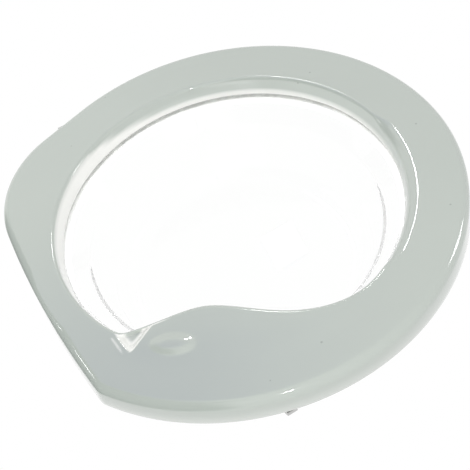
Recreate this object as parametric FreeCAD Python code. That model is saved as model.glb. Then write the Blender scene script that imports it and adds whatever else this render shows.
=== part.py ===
import FreeCAD, Part
import math
import os

# Porthole door of a front-loading washing machine, as it hangs on the closed machine.
# Millimetres. The ring's axis is Y, its front faces -Y, the cabinet's front panel is the
# plane Y = 0 and +Z is up. Everything is drawn about the ring's centre and moved at the
# end, so that the origin is the middle of the hinge bracket's screw pattern.

Vector = FreeCAD.Vector

# Ring: opening, section and plan outline
WELL_RADIUS = 174.0
INNER_WALL_FLARE = 4.5
BEVEL_WIDTH = 11.5
BEVEL_DROP = 3.0
RING_WIDTH = 58.5
FRAME_DEPTH = 24.0
STANDOFF = 8.0
SHOULDER_RADIUS = 7.0
RIM_ROUND = 2.0
WALL = 3.0
WELL_DEPTH = 19.0
SEAT_THICKNESS = 2.0
FLAT_CUT = 27.0
FLAT_BOW_RADIUS = 1150.0
CHEEK_ANGLE = 196.5
HINGE_CORNER_RADIUS = 120.0
LATCH_CORNER_RADIUS = 22.0

# Grip lip: a wave that stands into the opening, with a thumb dimple and a scooped end
LIP_ANGLE = -37.0
LIP_REACH = 53.0
LIP_STEEP_SPAN = 27.0
LIP_FADE_SPAN = 56.0
LIP_DEPTH = 12.0
LIP_SWELL = 2.0
LIP_LEAST_SWELL = 0.1
LIP_SINK = 4.0
LIP_ROOT_SINK = 1.0
LIP_BLEND = 25.0
LIP_ROOT = 6.0
LIP_HOLLOW_INSET = 8.0
LIP_HOLLOW_ROOT = 1.5
LINER_THICKNESS = 2.0
DIMPLE_ANGLE = -47.5
DIMPLE_INSET = 14.0
DIMPLE_RADIUS = 15.0
DIMPLE_DEPTH = 1.8
SCOOP_RADIUS = 15.0
SCOOP_DEPTH = 5.0
SCOOP_LENGTH = 27.0
SCOOP_HEADING = 160.0
LIP_STEEP_STATIONS = (1.0, 0.83, 0.63, 0.4, 0.2)
LIP_FADE_STATIONS = (0.0, 0.2, 0.4, 0.6, 0.8, 1.0)
HOLLOW_STEEP_STATIONS = (0.7, 0.5, 0.25)
HOLLOW_FADE_STATIONS = (0.0, 0.15, 0.3, 0.5)

# Glass bowl and its gasket
FLANGE_WIDTH = 13.0
FLANGE_THICKNESS = 5.5
GASKET_THICKNESS = 1.0
GASKET_INSET = 1.0
GLASS_THICKNESS = 5.0
GLASS_LIP = 2.0
NECK_RUN = 22.0
NECK_DEPTH = 23.0
BOWL_TAPER = 20.0
BOWL_DEPTH = 87.0
BOWL_ROUND = 22.0
NECK_ROUND = 6.0
FLANGE_CHAMFER = 1.0

# Rear frame, its screws and its stop buffers
FRAME_FIT = 0.3
PLATE_THICKNESS = 3.0
CLAMP_THICKNESS = 3.5
CLAMP_WIDTH = 11.0
STEP_GAP = 2.0
SCREW_ANGLES = (20.0, 55.0, 90.0, 125.0, 160.0, 235.0, 270.0, 305.0, 335.0)
SCREW_MARGIN = 8.5
SCREW_RADIUS = 1.5
SCREW_LENGTH = 12.0
SCREW_HEAD_RADIUS = 3.6
SCREW_HEAD_HEIGHT = 2.0
BOSS_RADIUS = 4.5
RIB_THICKNESS = 2.0
RIB_CLEARANCE = 4.0
RIB_SPACING_LIMIT = 40.0
BUFFER_ANGLES = (38.0, 142.0, 315.0)
BUFFER_MARGIN = 20.0
BUFFER_RADIUS = 6.0
BUFFER_TIP_RADIUS = 4.0
BUFFER_STEM_RADIUS = 2.5
BUFFER_GAP = 0.5

# Hinge: bracket on the cabinet, arm on the door, pin between
HINGE_INSET = 9.5
PIVOT_STANDOFF = 14.0
HINGE_DROP = 44.0
KNUCKLE_LENGTH = 67.4
LUG_HEIGHT = 18.0
KNUCKLE_RADIUS = 6.0
PIN_RADIUS = 2.5
PIN_HEAD_RADIUS = 4.2
PIN_HEAD_HEIGHT = 1.6
PIN_TAIL = 4.0
BUSH_WALL = 1.5
BUSH_LENGTH = 14.0
BUSH_FLANGE_RADIUS = 5.6
BUSH_FLANGE_THICKNESS = 1.0
THRUST_GAP = 0.3
RUNNING_CLEARANCE = 0.05
BRACKET_THICKNESS = 3.0
BRACKET_WIDTH = 32.0
BRACKET_CORNER = 5.0
LUG_WIDTH = 8.0
LUG_OFFSET = 2.0
MOUNT_OFFSET = 19.5
MOUNT_SPACING_X = 14.0
MOUNT_SPACING_Z = 80.0
MOUNT_HOLE_RADIUS = 2.75
ARM_THICKNESS = 2.5
ARM_REACH = 34.5
ARM_CORNER = 5.0
ARM_SCREW_NEAR = 17.5
ARM_SCREW_FAR = 29.5
ARM_SCREW_SPACING = 50.0
ARM_SCREW_RADIUS = 2.0
ARM_SCREW_HEAD_RADIUS = 3.8
ARM_SCREW_HEAD_HEIGHT = 1.8
ARM_SCREW_LENGTH = 12.0
BACKING_THICKNESS = 2.0
BACKING_MARGIN = 6.0
POCKET_CLEARANCE = 1.0
POCKET_DEPTH = 7.5
POCKET_END = 5.0
CLIP_THICKNESS = 0.8
CLIP_RADIUS = 4.6
CLIP_GROOVE_RADIUS = 2.0
CLIP_DROP = 0.6

# Latch: carrier in the ring, sprung hook, pin and screws
LATCH_DROP = 62.0
LATCH_INSET = 36.0
HOOK_PIVOT_DEPTH = 7.0
HOOK_THICKNESS = 10.0
HOOK_BOSS_RADIUS = 5.0
HOOK_ARM_WIDTH = 7.0
HOOK_LENGTH = 47.0
HOOK_BARB = 9.0
HOOK_BARB_LENGTH = 13.0
HOOK_BARB_SLOPE = 2.0
HOOK_BARB_NOSE = 4.0
HOOK_TIP_SLOPE = 4.0
HOOK_ROUND = 2.0
HOOK_NOSE_ROUND = 1.0
LATCH_PIN_RADIUS = 2.0
CARRIER_WALL = 2.0
CARRIER_BOX_WIDTH = 20.0
CARRIER_BOX_HEIGHT = 30.0
CARRIER_BOX_DEPTH = 18.0
CARRIER_PLATE_WIDTH = 21.0
CARRIER_PLATE_HEIGHT = 56.0
CARRIER_PLATE_THICKNESS = 2.5
CARRIER_CORNER = 5.0
CARRIER_FIT = 0.3
HOOK_SLOT_WIDTH = 14.0
HOOK_SLOT_CLEARANCE = 1.5
FIN_OFFSET = 14.0
FIN_THICKNESS = 4.0
FIN_LENGTH = 34.0
FIN_WIDTH = 14.0
FIN_SLOPE = 7.0
FIN_TIP = 4.0
FIN_ROUND = 2.0
CARRIER_SCREW_SPACING = 44.0
SPRING_RADIUS = 3.6
SPRING_WIRE_RADIUS = 0.5
SPRING_TURNS = 4
SPRING_PITCH = 1.5
SPRING_GAP = 0.3
SPRING_LEG = 5.5
SPRING_SIDES = 14
SPRING_WIRE_SIDES = 8

# Worked out from the driving dimensions
RIM_RADIUS = WELL_RADIUS + INNER_WALL_FLARE
CREASE_RADIUS = RIM_RADIUS + BEVEL_WIDTH
OUTER_RADIUS = RIM_RADIUS + RING_WIDTH
REAR_Y = -STANDOFF
FACE_Y = REAR_Y - FRAME_DEPTH
SEAT_Y = FACE_Y + WELL_DEPTH
FLANGE_RADIUS = WELL_RADIUS + FLANGE_WIDTH
FLANGE_FRONT_Y = SEAT_Y + GASKET_THICKNESS
FLANGE_REAR_Y = FLANGE_FRONT_Y + FLANGE_THICKNESS
PLATE_FRONT_Y = REAR_Y - PLATE_THICKNESS
STEP_INNER = FLANGE_RADIUS + STEP_GAP
STEP_RADIUS = STEP_INNER + WALL
SCREW_CIRCLE = STEP_RADIUS + SCREW_MARGIN
FLAT_DROP = OUTER_RADIUS - FLAT_CUT
FLAT_CENTRE_Z = FLAT_BOW_RADIUS - FLAT_DROP
AXIS_X = HINGE_INSET - OUTER_RADIUS
AXIS_Y = -PIVOT_STANDOFF
HINGE_Z = -HINGE_DROP
LUG_GAP = KNUCKLE_LENGTH + 2 * (BUSH_FLANGE_THICKNESS + THRUST_GAP)
HINGE_HEIGHT = LUG_GAP + 2 * LUG_HEIGHT
HINGE_TOP_Z = HINGE_Z + HINGE_HEIGHT / 2
HINGE_BOTTOM_Z = HINGE_Z - HINGE_HEIGHT / 2
ARM_REAR_Y = REAR_Y + ARM_THICKNESS
POCKET_X = AXIS_X + KNUCKLE_RADIUS + POCKET_CLEARANCE
LATCH_X = OUTER_RADIUS - LATCH_INSET
LATCH_Z = -LATCH_DROP
HOOK_PIVOT_Y = PLATE_FRONT_Y - HOOK_PIVOT_DEPTH
CARRIER_REAR_Y = REAR_Y + CARRIER_PLATE_THICKNESS
ORIGIN = Vector(AXIS_X + MOUNT_OFFSET, 0, HINGE_Z)

ALONG_Y = Vector(0, 1, 0)
ALONG_Z = Vector(0, 0, 1)
SAME_PLACE = 0.001


# Drawing helpers

def polar(radius, angle):
    """Plan coordinates of a point at a radius and an angle in degrees."""
    turn = math.radians(angle)
    return radius * math.cos(turn), radius * math.sin(turn)


def on_plan(y):
    """Mapping of plan coordinates (x, z) to a point at depth y."""
    return lambda x, z: Vector(x, y, z)


def on_level(z):
    """Mapping of level coordinates (x, y) to a point at height z."""
    return lambda x, y: Vector(x, y, z)


def on_radius(angle):
    """Mapping of (radius, y) to a point in the radial plane at an angle."""
    return lambda radius, y: Vector(polar(radius, angle)[0], y, polar(radius, angle)[1])


def rounded_wire(corners, place):
    """Closed wire through corners (u, v, radius); a radius of 0 leaves a corner sharp."""
    trims = []
    for index, (u, v, radius) in enumerate(corners):
        before = corners[index - 1]
        after = corners[(index + 1) % len(corners)]
        back = Vector(before[0] - u, before[1] - v, 0).normalize()
        ahead = Vector(after[0] - u, after[1] - v, 0).normalize()
        corner = Vector(u, v, 0)
        half = back.getAngle(ahead) / 2
        reach = radius / math.tan(half)
        middle = corner
        if radius > 0:
            inward = (back + ahead).normalize()
            middle = corner + inward * (radius / math.sin(half) - radius)
        trims.append((corner + back * reach, middle, corner + ahead * reach, radius))
    edges = []
    for index, (start, middle, end, radius) in enumerate(trims):
        following = trims[(index + 1) % len(trims)][0]
        if radius > 0:
            points = [place(point.x, point.y) for point in (start, middle, end)]
            edges.append(Part.Arc(*points).toShape())
        if end.distanceToPoint(following) > SAME_PLACE:
            edges.append(Part.makeLine(place(end.x, end.y), place(following.x, following.y)))
    return Part.Wire(edges)


def outward(solid):
    """The solid with its faces pointing outwards."""
    if solid.Volume < 0:
        solid.reverse()
    return solid


def revolved(corners):
    """Solid of revolution about the ring's axis from corners (radius, y, rounding)."""
    face = Part.Face(rounded_wire(corners, on_level(0)))
    return outward(face.revolve(Vector(), ALONG_Y, 360))


def prism_y(wire, depth):
    """Solid from a plan wire, carried backwards by depth."""
    return outward(Part.Face(wire).extrude(ALONG_Y * depth))


def prism_z(corners, low, high):
    """Solid from a level outline of corners (x, y, rounding) between two heights."""
    face = Part.Face(rounded_wire(corners, on_level(low)))
    return outward(face.extrude(ALONG_Z * (high - low)))


def plan_plate(x_low, x_high, z_low, z_high, y_low, y_high, rounding):
    """Upright plate with rounded corners."""
    places = [(x_low, z_low), (x_high, z_low), (x_high, z_high), (x_low, z_high)]
    corners = [(x, z, rounding) for x, z in places]
    return prism_y(rounded_wire(corners, on_plan(y_low)), y_high - y_low)


def block(x_low, x_high, y_low, y_high, z_low, z_high):
    """Plain block between two corners."""
    return Part.makeBox(x_high - x_low, y_high - y_low, z_high - z_low, Vector(x_low, y_low, z_low))


def rod_y(radius, x, z, y_low, y_high):
    """Round rod along the ring's axis."""
    return Part.makeCylinder(radius, y_high - y_low, Vector(x, y_low, z), ALONG_Y)


def rod_z(radius, x, y, z_low, z_high):
    """Upright round rod."""
    return Part.makeCylinder(radius, z_high - z_low, Vector(x, y, z_low), ALONG_Z)


# Plan outline of the ring

def plan_angle(offset):
    """Angle of a plan offset in degrees, from 0 to 360."""
    return math.degrees(math.atan2(offset.z, offset.x)) % 360


def corner_centres():
    """Centres of the two roundings that lead into the flat lower edge."""
    flat = Vector(0, 0, FLAT_CENTRE_Z)
    cheek = Vector(polar(1, CHEEK_ANGLE)[0], 0, polar(1, CHEEK_ANGLE)[1])
    down = Vector(-cheek.z, 0, cheek.x)
    start = cheek * (OUTER_RADIUS - HINGE_CORNER_RADIUS) - flat
    along = start.dot(down)
    span = math.sqrt(along ** 2 - start.dot(start) + (FLAT_BOW_RADIUS - HINGE_CORNER_RADIUS) ** 2)
    hinge_side = flat + start + down * (span - along)
    inner = OUTER_RADIUS - LATCH_CORNER_RADIUS
    outer = FLAT_BOW_RADIUS - LATCH_CORNER_RADIUS
    height = (inner ** 2 - outer ** 2 + FLAT_CENTRE_Z ** 2) / (2 * FLAT_CENTRE_Z)
    latch_side = Vector(math.sqrt(inner ** 2 - height ** 2), 0, height)
    return hinge_side, latch_side


def outline_wire(inset, y):
    """Outline of the ring at depth y, drawn parallel to its outer wall by an inset."""
    flat = Vector(0, 0, FLAT_CENTRE_Z)
    hinge_side, latch_side = corner_centres()
    flat_start = plan_angle(hinge_side - flat)
    flat_end = plan_angle(latch_side - flat)
    ring_start = plan_angle(latch_side)
    arcs = [
        (Vector(), OUTER_RADIUS, ring_start - 360, CHEEK_ANGLE),
        (hinge_side, HINGE_CORNER_RADIUS, CHEEK_ANGLE, flat_start),
        (flat, FLAT_BOW_RADIUS, flat_start, flat_end),
        (latch_side, LATCH_CORNER_RADIUS, flat_end, ring_start),
    ]
    edges = []
    for centre, radius, start, end in arcs:
        points = []
        for angle in (start, (start + end) / 2, end):
            x, z = polar(radius - inset, angle)
            points.append(Vector(centre.x + x, y, centre.z + z))
        edges.append(Part.Arc(*points).toShape())
    ring_end = edges[0].valueAt(edges[0].LastParameter)
    corner_start = edges[1].valueAt(edges[1].FirstParameter)
    cheek_line = Part.makeLine(ring_end, corner_start)
    return Part.Wire([edges[0], cheek_line] + edges[1:])


def outline_prism(inset, y_front, y_rear, rounding):
    """Outline carried from front to rear, with its front edge rounded."""
    solid = prism_y(outline_wire(inset, y_front), y_rear - y_front)
    front = [edge for edge in solid.Edges if edge.BoundBox.YMax < y_front + SAME_PLACE]
    return solid.makeFillet(rounding, front)


# Front frame and its grip lip

def lip_share(angle):
    """Share of the wave's full reach: a parabola down its steep end, a cosine down its long one."""
    if angle < LIP_ANGLE:
        return 1 - ((LIP_ANGLE - angle) / LIP_STEEP_SPAN) ** 2
    return math.cos(math.pi / 2 * (angle - LIP_ANGLE) / LIP_FADE_SPAN) ** 2


def lip_edge(angle):
    """Radius of the lip's edge; at both ends it lies inside the ring, by the lip's sink."""
    return RIM_RADIUS + LIP_SINK - (LIP_REACH + LIP_SINK) * lip_share(angle)


def lip_angles(steep_shares, fade_shares):
    """Plan angles at shares of the lip's two flanks."""
    steep = [LIP_ANGLE - share * LIP_STEEP_SPAN for share in steep_shares]
    return steep + [LIP_ANGLE + share * LIP_FADE_SPAN for share in fade_shares]


def lip_section(angle):
    """Section of the lip: a swelling top, a round nose and a flat back."""
    edge = lip_edge(angle)
    blend = min(1.0, (RIM_RADIUS + LIP_SINK - edge) / LIP_BLEND)
    root = CREASE_RADIUS + LIP_ROOT
    root_y = FACE_Y + LIP_ROOT_SINK
    top = FACE_Y + BEVEL_DROP * (1 - blend)
    bottom = FACE_Y + LIP_DEPTH
    nose = (bottom - top) / 2
    place = on_radius(angle)
    crest_y = (root_y + top) / 2 - LIP_LEAST_SWELL - (LIP_SWELL + LIP_ROOT_SINK) * blend
    crest = place((root + edge + nose) / 2, crest_y)
    upper = Part.Arc(place(root, root_y), crest, place(edge + nose, top)).toShape()
    tip = Part.Arc(place(edge + nose, top), place(edge, top + nose), place(edge + nose, bottom)).toShape()
    lower = Part.makeLine(place(edge + nose, bottom), place(root, bottom))
    back = Part.makeLine(place(root, bottom), place(root, root_y))
    return Part.Wire([upper, tip, lower, back])


def lip_fill(angle, y_front, y_rear, clearance):
    """Section of what lies inside the hollow lip between two depths, less a clearance all round."""
    inner = lip_edge(angle) + LIP_HOLLOW_INSET + clearance
    outer = WELL_RADIUS - LIP_HOLLOW_ROOT - clearance
    corners = [(inner, y_front, 0), (outer, y_front, 0), (outer, y_rear, 0), (inner, y_rear, 0)]
    return rounded_wire(corners, on_radius(angle))


def lip_pocket(y_front, y_rear, clearance):
    """Solid that fills the hollow lip between two depths."""
    angles = lip_angles(HOLLOW_STEEP_STATIONS, HOLLOW_FADE_STATIONS)
    sections = [lip_fill(angle, y_front, y_rear, clearance) for angle in angles]
    return outward(Part.makeLoft(sections, True))


def dimple():
    """Ball that presses the thumb dimple into the lip."""
    ball_radius = (DIMPLE_RADIUS ** 2 + DIMPLE_DEPTH ** 2) / (2 * DIMPLE_DEPTH)
    x, z = polar(RIM_RADIUS - DIMPLE_INSET, DIMPLE_ANGLE)
    centre_y = FACE_Y - LIP_SWELL + DIMPLE_DEPTH - ball_radius
    return Part.makeSphere(ball_radius, Vector(x, centre_y, z))


def scoop():
    """Slanting round cutter that lets the face fall away into the steep end of the lip."""
    x, z = polar(RIM_RADIUS, LIP_ANGLE - LIP_STEEP_SPAN)
    low = Vector(x, FACE_Y - SCOOP_RADIUS + SCOOP_DEPTH, z)
    run_x, run_z = polar(SCOOP_LENGTH, SCOOP_HEADING)
    fall = Vector(run_x, SCOOP_DEPTH, run_z)
    start = low - fall - fall / 2
    end = low + fall + fall / 2
    return Part.makeCylinder(SCOOP_RADIUS, start.distanceToPoint(end), start, fall)


def opening():
    """Everything inside the ring: rim bevel, sloping inner wall and the hole for the glass."""
    return revolved([
        (0, FACE_Y - WALL, 0),
        (CREASE_RADIUS + BEVEL_WIDTH, FACE_Y - WALL, 0),
        (CREASE_RADIUS, FACE_Y, 0),
        (RIM_RADIUS, FACE_Y + BEVEL_DROP, RIM_ROUND),
        (WELL_RADIUS, SEAT_Y, 0),
        (WELL_RADIUS, 0, 0),
        (0, 0, 0),
    ])


def channel():
    """Hollow of the ring, open at the back, between its outer wall and the wall with the glass seat."""
    hollow = outline_prism(WALL, FACE_Y + WALL, 0, SHOULDER_RADIUS - WALL)
    core = revolved([
        (0, FACE_Y, 0),
        (CREASE_RADIUS + WALL, FACE_Y, 0),
        (CREASE_RADIUS + WALL, FACE_Y + WALL, 0),
        (RIM_RADIUS + WALL, FACE_Y + BEVEL_DROP + WALL, 0),
        (WELL_RADIUS + WALL, SEAT_Y - SEAT_THICKNESS, 0),
        (FLANGE_RADIUS, SEAT_Y - SEAT_THICKNESS, 0),
        (FLANGE_RADIUS, SEAT_Y, 0),
        (0, SEAT_Y, 0),
    ])
    return hollow.cut(core)


def hinge_pocket(y_front):
    """Room at the hinge side for the knuckles and for the bracket's lugs as the door swings."""
    outside = -OUTER_RADIUS - POCKET_END
    low = HINGE_BOTTOM_Z - POCKET_END
    high = HINGE_TOP_Z + POCKET_END
    return block(outside, POCKET_X, y_front, 0, low, high)


def screw_places():
    """Plan positions of the frame screws."""
    return [polar(SCREW_CIRCLE, angle) for angle in SCREW_ANGLES]


def ribs(hollow):
    """Radial ribs of the channel, midway between neighbouring screws."""
    spokes = []
    for first, second in zip(SCREW_ANGLES, SCREW_ANGLES[1:]):
        if second - first < RIB_SPACING_LIMIT:
            half = RIB_THICKNESS / 2
            rear = PLATE_FRONT_Y - RIB_CLEARANCE
            spoke = block(WELL_RADIUS, OUTER_RADIUS, FACE_Y, rear, -half, half)
            spoke.rotate(Vector(), ALONG_Y, -(first + second) / 2)
            spokes.append(spoke.common(hollow))
    return spokes


def front_frame():
    """Moulded ring with the grip lip, hollow behind, with bosses and ribs inside."""
    hollow = channel()
    ring = outline_prism(0, FACE_Y, REAR_Y, SHOULDER_RADIUS).cut(opening())
    stations = lip_angles(LIP_STEEP_STATIONS, LIP_FADE_STATIONS)
    lip = outward(Part.makeLoft([lip_section(angle) for angle in stations], True))
    ring = ring.fuse(lip).cut([dimple(), scoop()])
    ring = ring.cut([hollow, lip_pocket(FACE_Y + WALL, FACE_Y + LIP_DEPTH + WALL, 0)])
    bosses = [rod_y(BOSS_RADIUS, x, z, FACE_Y + WALL / 2, PLATE_FRONT_Y) for x, z in screw_places()]
    fit = SCREW_RADIUS + RUNNING_CLEARANCE
    hole_end = REAR_Y - SCREW_LENGTH - WALL
    holes = [rod_y(fit, x, z, hole_end, REAR_Y) for x, z in screw_places()]
    ring = ring.fuse(bosses + ribs(hollow))
    return ring.cut(holes + [hinge_pocket(AXIS_Y - POCKET_DEPTH)]).removeSplitter()


def grip_liner():
    """Plate that closes the hollow back of the lip, flush with it."""
    return lip_pocket(FACE_Y + LIP_DEPTH - LINER_THICKNESS, FACE_Y + LIP_DEPTH, FRAME_FIT / 2)


# Glass and gasket

def glass_profile(offset):
    """Radii and depths of the bowl's wall, moved outwards by an offset, from flange to floor."""
    neck_x = WELL_RADIUS - GLASS_LIP
    slant = math.atan2(NECK_RUN - GLASS_LIP, NECK_DEPTH)
    taper = math.atan2(BOWL_TAPER, BOWL_DEPTH - NECK_DEPTH)
    neck_out = offset / math.cos(slant)
    wall_out = offset / math.cos(taper)
    floor_y = FLANGE_FRONT_Y + BOWL_DEPTH + offset
    bend_shift = (neck_out - wall_out) / (math.tan(slant) - math.tan(taper))
    bend_y = FLANGE_FRONT_Y + NECK_DEPTH + bend_shift
    bend_x = neck_x + neck_out - (bend_y - FLANGE_FRONT_Y) * math.tan(slant)
    floor_x = bend_x - (floor_y - bend_y) * math.tan(taper)
    return neck_x + neck_out, math.tan(slant), (bend_x, bend_y), (floor_x, floor_y)


def glass_bowl():
    """Pressed glass bowl: flat flange, slanting neck, tapering wall and a round-cornered floor."""
    neck, slope, bend, floor = glass_profile(GLASS_THICKNESS)
    neck_rear = neck - FLANGE_THICKNESS * slope
    body = revolved([
        (0, FLANGE_FRONT_Y, 0),
        (FLANGE_RADIUS - FLANGE_CHAMFER, FLANGE_FRONT_Y, 0),
        (FLANGE_RADIUS, FLANGE_FRONT_Y + FLANGE_CHAMFER, 0),
        (FLANGE_RADIUS, FLANGE_REAR_Y - FLANGE_CHAMFER, 0),
        (FLANGE_RADIUS - FLANGE_CHAMFER, FLANGE_REAR_Y, 0),
        (neck_rear, FLANGE_REAR_Y, 0),
        (bend[0], bend[1], NECK_ROUND),
        (floor[0], floor[1], BOWL_ROUND + GLASS_THICKNESS),
        (0, floor[1], 0),
    ])
    neck, slope, bend, floor = glass_profile(0)
    inside = revolved([
        (0, FLANGE_FRONT_Y - GLASS_LIP, 0),
        (neck + GLASS_LIP * slope, FLANGE_FRONT_Y - GLASS_LIP, 0),
        (bend[0], bend[1], NECK_ROUND),
        (floor[0], floor[1], BOWL_ROUND),
        (0, floor[1], 0),
    ])
    return body.cut(inside)


def glass_gasket():
    """Flat rubber ring between the front frame's seat and the glass flange."""
    return revolved([
        (WELL_RADIUS + GASKET_INSET, SEAT_Y, 0),
        (FLANGE_RADIUS - GASKET_INSET, SEAT_Y, 0),
        (FLANGE_RADIUS - GASKET_INSET, FLANGE_FRONT_Y, 0),
        (WELL_RADIUS + GASKET_INSET, FLANGE_FRONT_Y, 0),
    ])


# Rear frame with its fasteners

def arm_screw_places():
    """Plan positions of the screws that hold the hinge arm."""
    columns = (AXIS_X + ARM_SCREW_NEAR, AXIS_X + ARM_SCREW_FAR)
    rows = (HINGE_Z - ARM_SCREW_SPACING / 2, HINGE_Z + ARM_SCREW_SPACING / 2)
    return [(x, z) for x in columns for z in rows]


def carrier_screw_places():
    """Plan positions of the screws that hold the latch carrier."""
    half = CARRIER_SCREW_SPACING / 2
    return [(LATCH_X, LATCH_Z - half), (LATCH_X, LATCH_Z + half)]


def buffer_places():
    """Plan positions of the stop buffers."""
    return [polar(STEP_RADIUS + BUFFER_MARGIN, angle) for angle in BUFFER_ANGLES]


def latch_window():
    """Cut in the rear frame that the latch carrier's box passes through."""
    half_width = CARRIER_BOX_WIDTH / 2 + CARRIER_FIT
    half_height = CARRIER_BOX_HEIGHT / 2 + CARRIER_FIT
    left = LATCH_X - half_width
    right = LATCH_X + half_width
    return block(left, right, PLATE_FRONT_Y, REAR_Y, LATCH_Z - half_height, LATCH_Z + half_height)


def rear_frame():
    """Moulded rear ring: plate behind the channel, step towards the glass and clamp over its flange."""
    clamp_rear = FLANGE_REAR_Y + CLAMP_THICKNESS
    clamp_inner = FLANGE_RADIUS - CLAMP_WIDTH
    plate = prism_y(outline_wire(WALL + FRAME_FIT, PLATE_FRONT_Y), PLATE_THICKNESS)
    plate = plate.cut(rod_y(STEP_INNER + WALL / 2, 0, 0, PLATE_FRONT_Y, REAR_Y))
    clamp = revolved([
        (STEP_INNER, PLATE_FRONT_Y, 0),
        (STEP_RADIUS, PLATE_FRONT_Y, 0),
        (STEP_RADIUS, clamp_rear, RIM_ROUND),
        (clamp_inner, clamp_rear, RIM_ROUND / 2),
        (clamp_inner, FLANGE_REAR_Y, 0),
        (STEP_INNER, FLANGE_REAR_Y, 0),
    ])
    holes = [
        (SCREW_RADIUS, screw_places() + carrier_screw_places()),
        (ARM_SCREW_RADIUS, arm_screw_places()),
        (BUFFER_STEM_RADIUS, buffer_places()),
    ]
    cuts = [hinge_pocket(PLATE_FRONT_Y), latch_window()]
    for radius, places in holes:
        fit = radius + RUNNING_CLEARANCE
        cuts += [rod_y(fit, x, z, PLATE_FRONT_Y, REAR_Y) for x, z in places]
    return plate.fuse(clamp).cut(cuts).removeSplitter()


def pan_screw(x, z, seat_y):
    """Self-tapping screw driven forwards from a seat, with a pan head behind it."""
    shank = rod_y(SCREW_RADIUS, x, z, seat_y - SCREW_LENGTH, seat_y)
    head = rod_y(SCREW_HEAD_RADIUS, x, z, seat_y, seat_y + SCREW_HEAD_HEIGHT)
    return shank.fuse(head).removeSplitter()


def stop_buffer(x, z):
    """Rubber buffer: a stem through the rear frame and a tapered head that meets the cabinet."""
    stem = rod_y(BUFFER_STEM_RADIUS, x, z, PLATE_FRONT_Y, REAR_Y)
    height = STANDOFF - BUFFER_GAP
    head = Part.makeCone(BUFFER_RADIUS, BUFFER_TIP_RADIUS, height, Vector(x, REAR_Y, z), ALONG_Y)
    return stem.fuse(head)


# Hinge

def hinge_bracket():
    """Cabinet half: a screwed plate with two lugs that reach forwards to the pin."""
    left = AXIS_X - LUG_OFFSET
    right = left + BRACKET_WIDTH
    front = -BRACKET_THICKNESS
    bracket = plan_plate(left, right, HINGE_BOTTOM_Z, HINGE_TOP_Z, front, 0, BRACKET_CORNER)
    for low in (HINGE_BOTTOM_Z, HINGE_TOP_Z - LUG_HEIGHT):
        web = block(left, left + LUG_WIDTH, AXIS_Y, front / 2, low, low + LUG_HEIGHT)
        knuckle = rod_z(KNUCKLE_RADIUS, AXIS_X, AXIS_Y, low, low + LUG_HEIGHT)
        bracket = bracket.fuse([web, knuckle])
    gap_low = HINGE_BOTTOM_Z + LUG_HEIGHT
    gap_high = HINGE_TOP_Z - LUG_HEIGHT
    between = block(left, AXIS_X + KNUCKLE_RADIUS, front, 0, gap_low, gap_high)
    bore = rod_z(PIN_RADIUS + RUNNING_CLEARANCE, AXIS_X, AXIS_Y, HINGE_BOTTOM_Z, HINGE_TOP_Z)
    cuts = [between, bore]
    for x in (ORIGIN.x - MOUNT_SPACING_X / 2, ORIGIN.x + MOUNT_SPACING_X / 2):
        for z in (HINGE_Z - MOUNT_SPACING_Z / 2, HINGE_Z + MOUNT_SPACING_Z / 2):
            cuts.append(rod_y(MOUNT_HOLE_RADIUS, x, z, front, 0))
    return bracket.cut(cuts).removeSplitter()


def hinge_arm():
    """Door half: a plate on the rear frame that carries the long middle knuckle."""
    low = HINGE_Z - KNUCKLE_LENGTH / 2
    high = HINGE_Z + KNUCKLE_LENGTH / 2
    plate = plan_plate(AXIS_X + ARM_CORNER, AXIS_X + ARM_REACH, low, high, REAR_Y, ARM_REAR_Y, ARM_CORNER)
    web = block(AXIS_X, POCKET_X - POCKET_CLEARANCE / 2, AXIS_Y, ARM_REAR_Y, low, high)
    strip = block(AXIS_X, AXIS_X + 2 * ARM_CORNER, REAR_Y, ARM_REAR_Y, low, high)
    knuckle = rod_z(KNUCKLE_RADIUS, AXIS_X, AXIS_Y, low, high)
    arm = plate.fuse([web, strip, knuckle])
    cuts = [rod_z(PIN_RADIUS + BUSH_WALL + RUNNING_CLEARANCE, AXIS_X, AXIS_Y, low, high)]
    for x, z in arm_screw_places():
        cuts.append(rod_y(ARM_SCREW_RADIUS + RUNNING_CLEARANCE, x, z, REAR_Y, ARM_REAR_Y))
        cuts.append(countersink(x, z, RUNNING_CLEARANCE))
    return arm.cut(cuts).removeSplitter()


def countersink(x, z, clearance):
    """Cone of a countersunk head, flush with the back of the hinge arm."""
    start = Vector(x, ARM_REAR_Y - ARM_SCREW_HEAD_HEIGHT, z)
    small = ARM_SCREW_RADIUS + clearance
    large = ARM_SCREW_HEAD_RADIUS + clearance
    return Part.makeCone(small, large, ARM_SCREW_HEAD_HEIGHT, start, ALONG_Y)


def arm_screw(x, z):
    """Countersunk screw through the arm, the rear frame and the backing plate."""
    head_y = ARM_REAR_Y - ARM_SCREW_HEAD_HEIGHT
    shank = rod_y(ARM_SCREW_RADIUS, x, z, ARM_REAR_Y - ARM_SCREW_LENGTH, head_y)
    return shank.fuse(countersink(x, z, 0)).removeSplitter()


def hinge_backing_plate():
    """Steel plate inside the ring that the arm's screws bite into."""
    left = AXIS_X + ARM_SCREW_NEAR - BACKING_MARGIN
    right = AXIS_X + ARM_SCREW_FAR + BACKING_MARGIN
    half = ARM_SCREW_SPACING / 2 + BACKING_MARGIN
    front = PLATE_FRONT_Y - BACKING_THICKNESS
    plate = plan_plate(left, right, HINGE_Z - half, HINGE_Z + half, front, PLATE_FRONT_Y, ARM_CORNER)
    fit = ARM_SCREW_RADIUS + RUNNING_CLEARANCE
    return plate.cut([rod_y(fit, x, z, front, PLATE_FRONT_Y) for x, z in arm_screw_places()])


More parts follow.
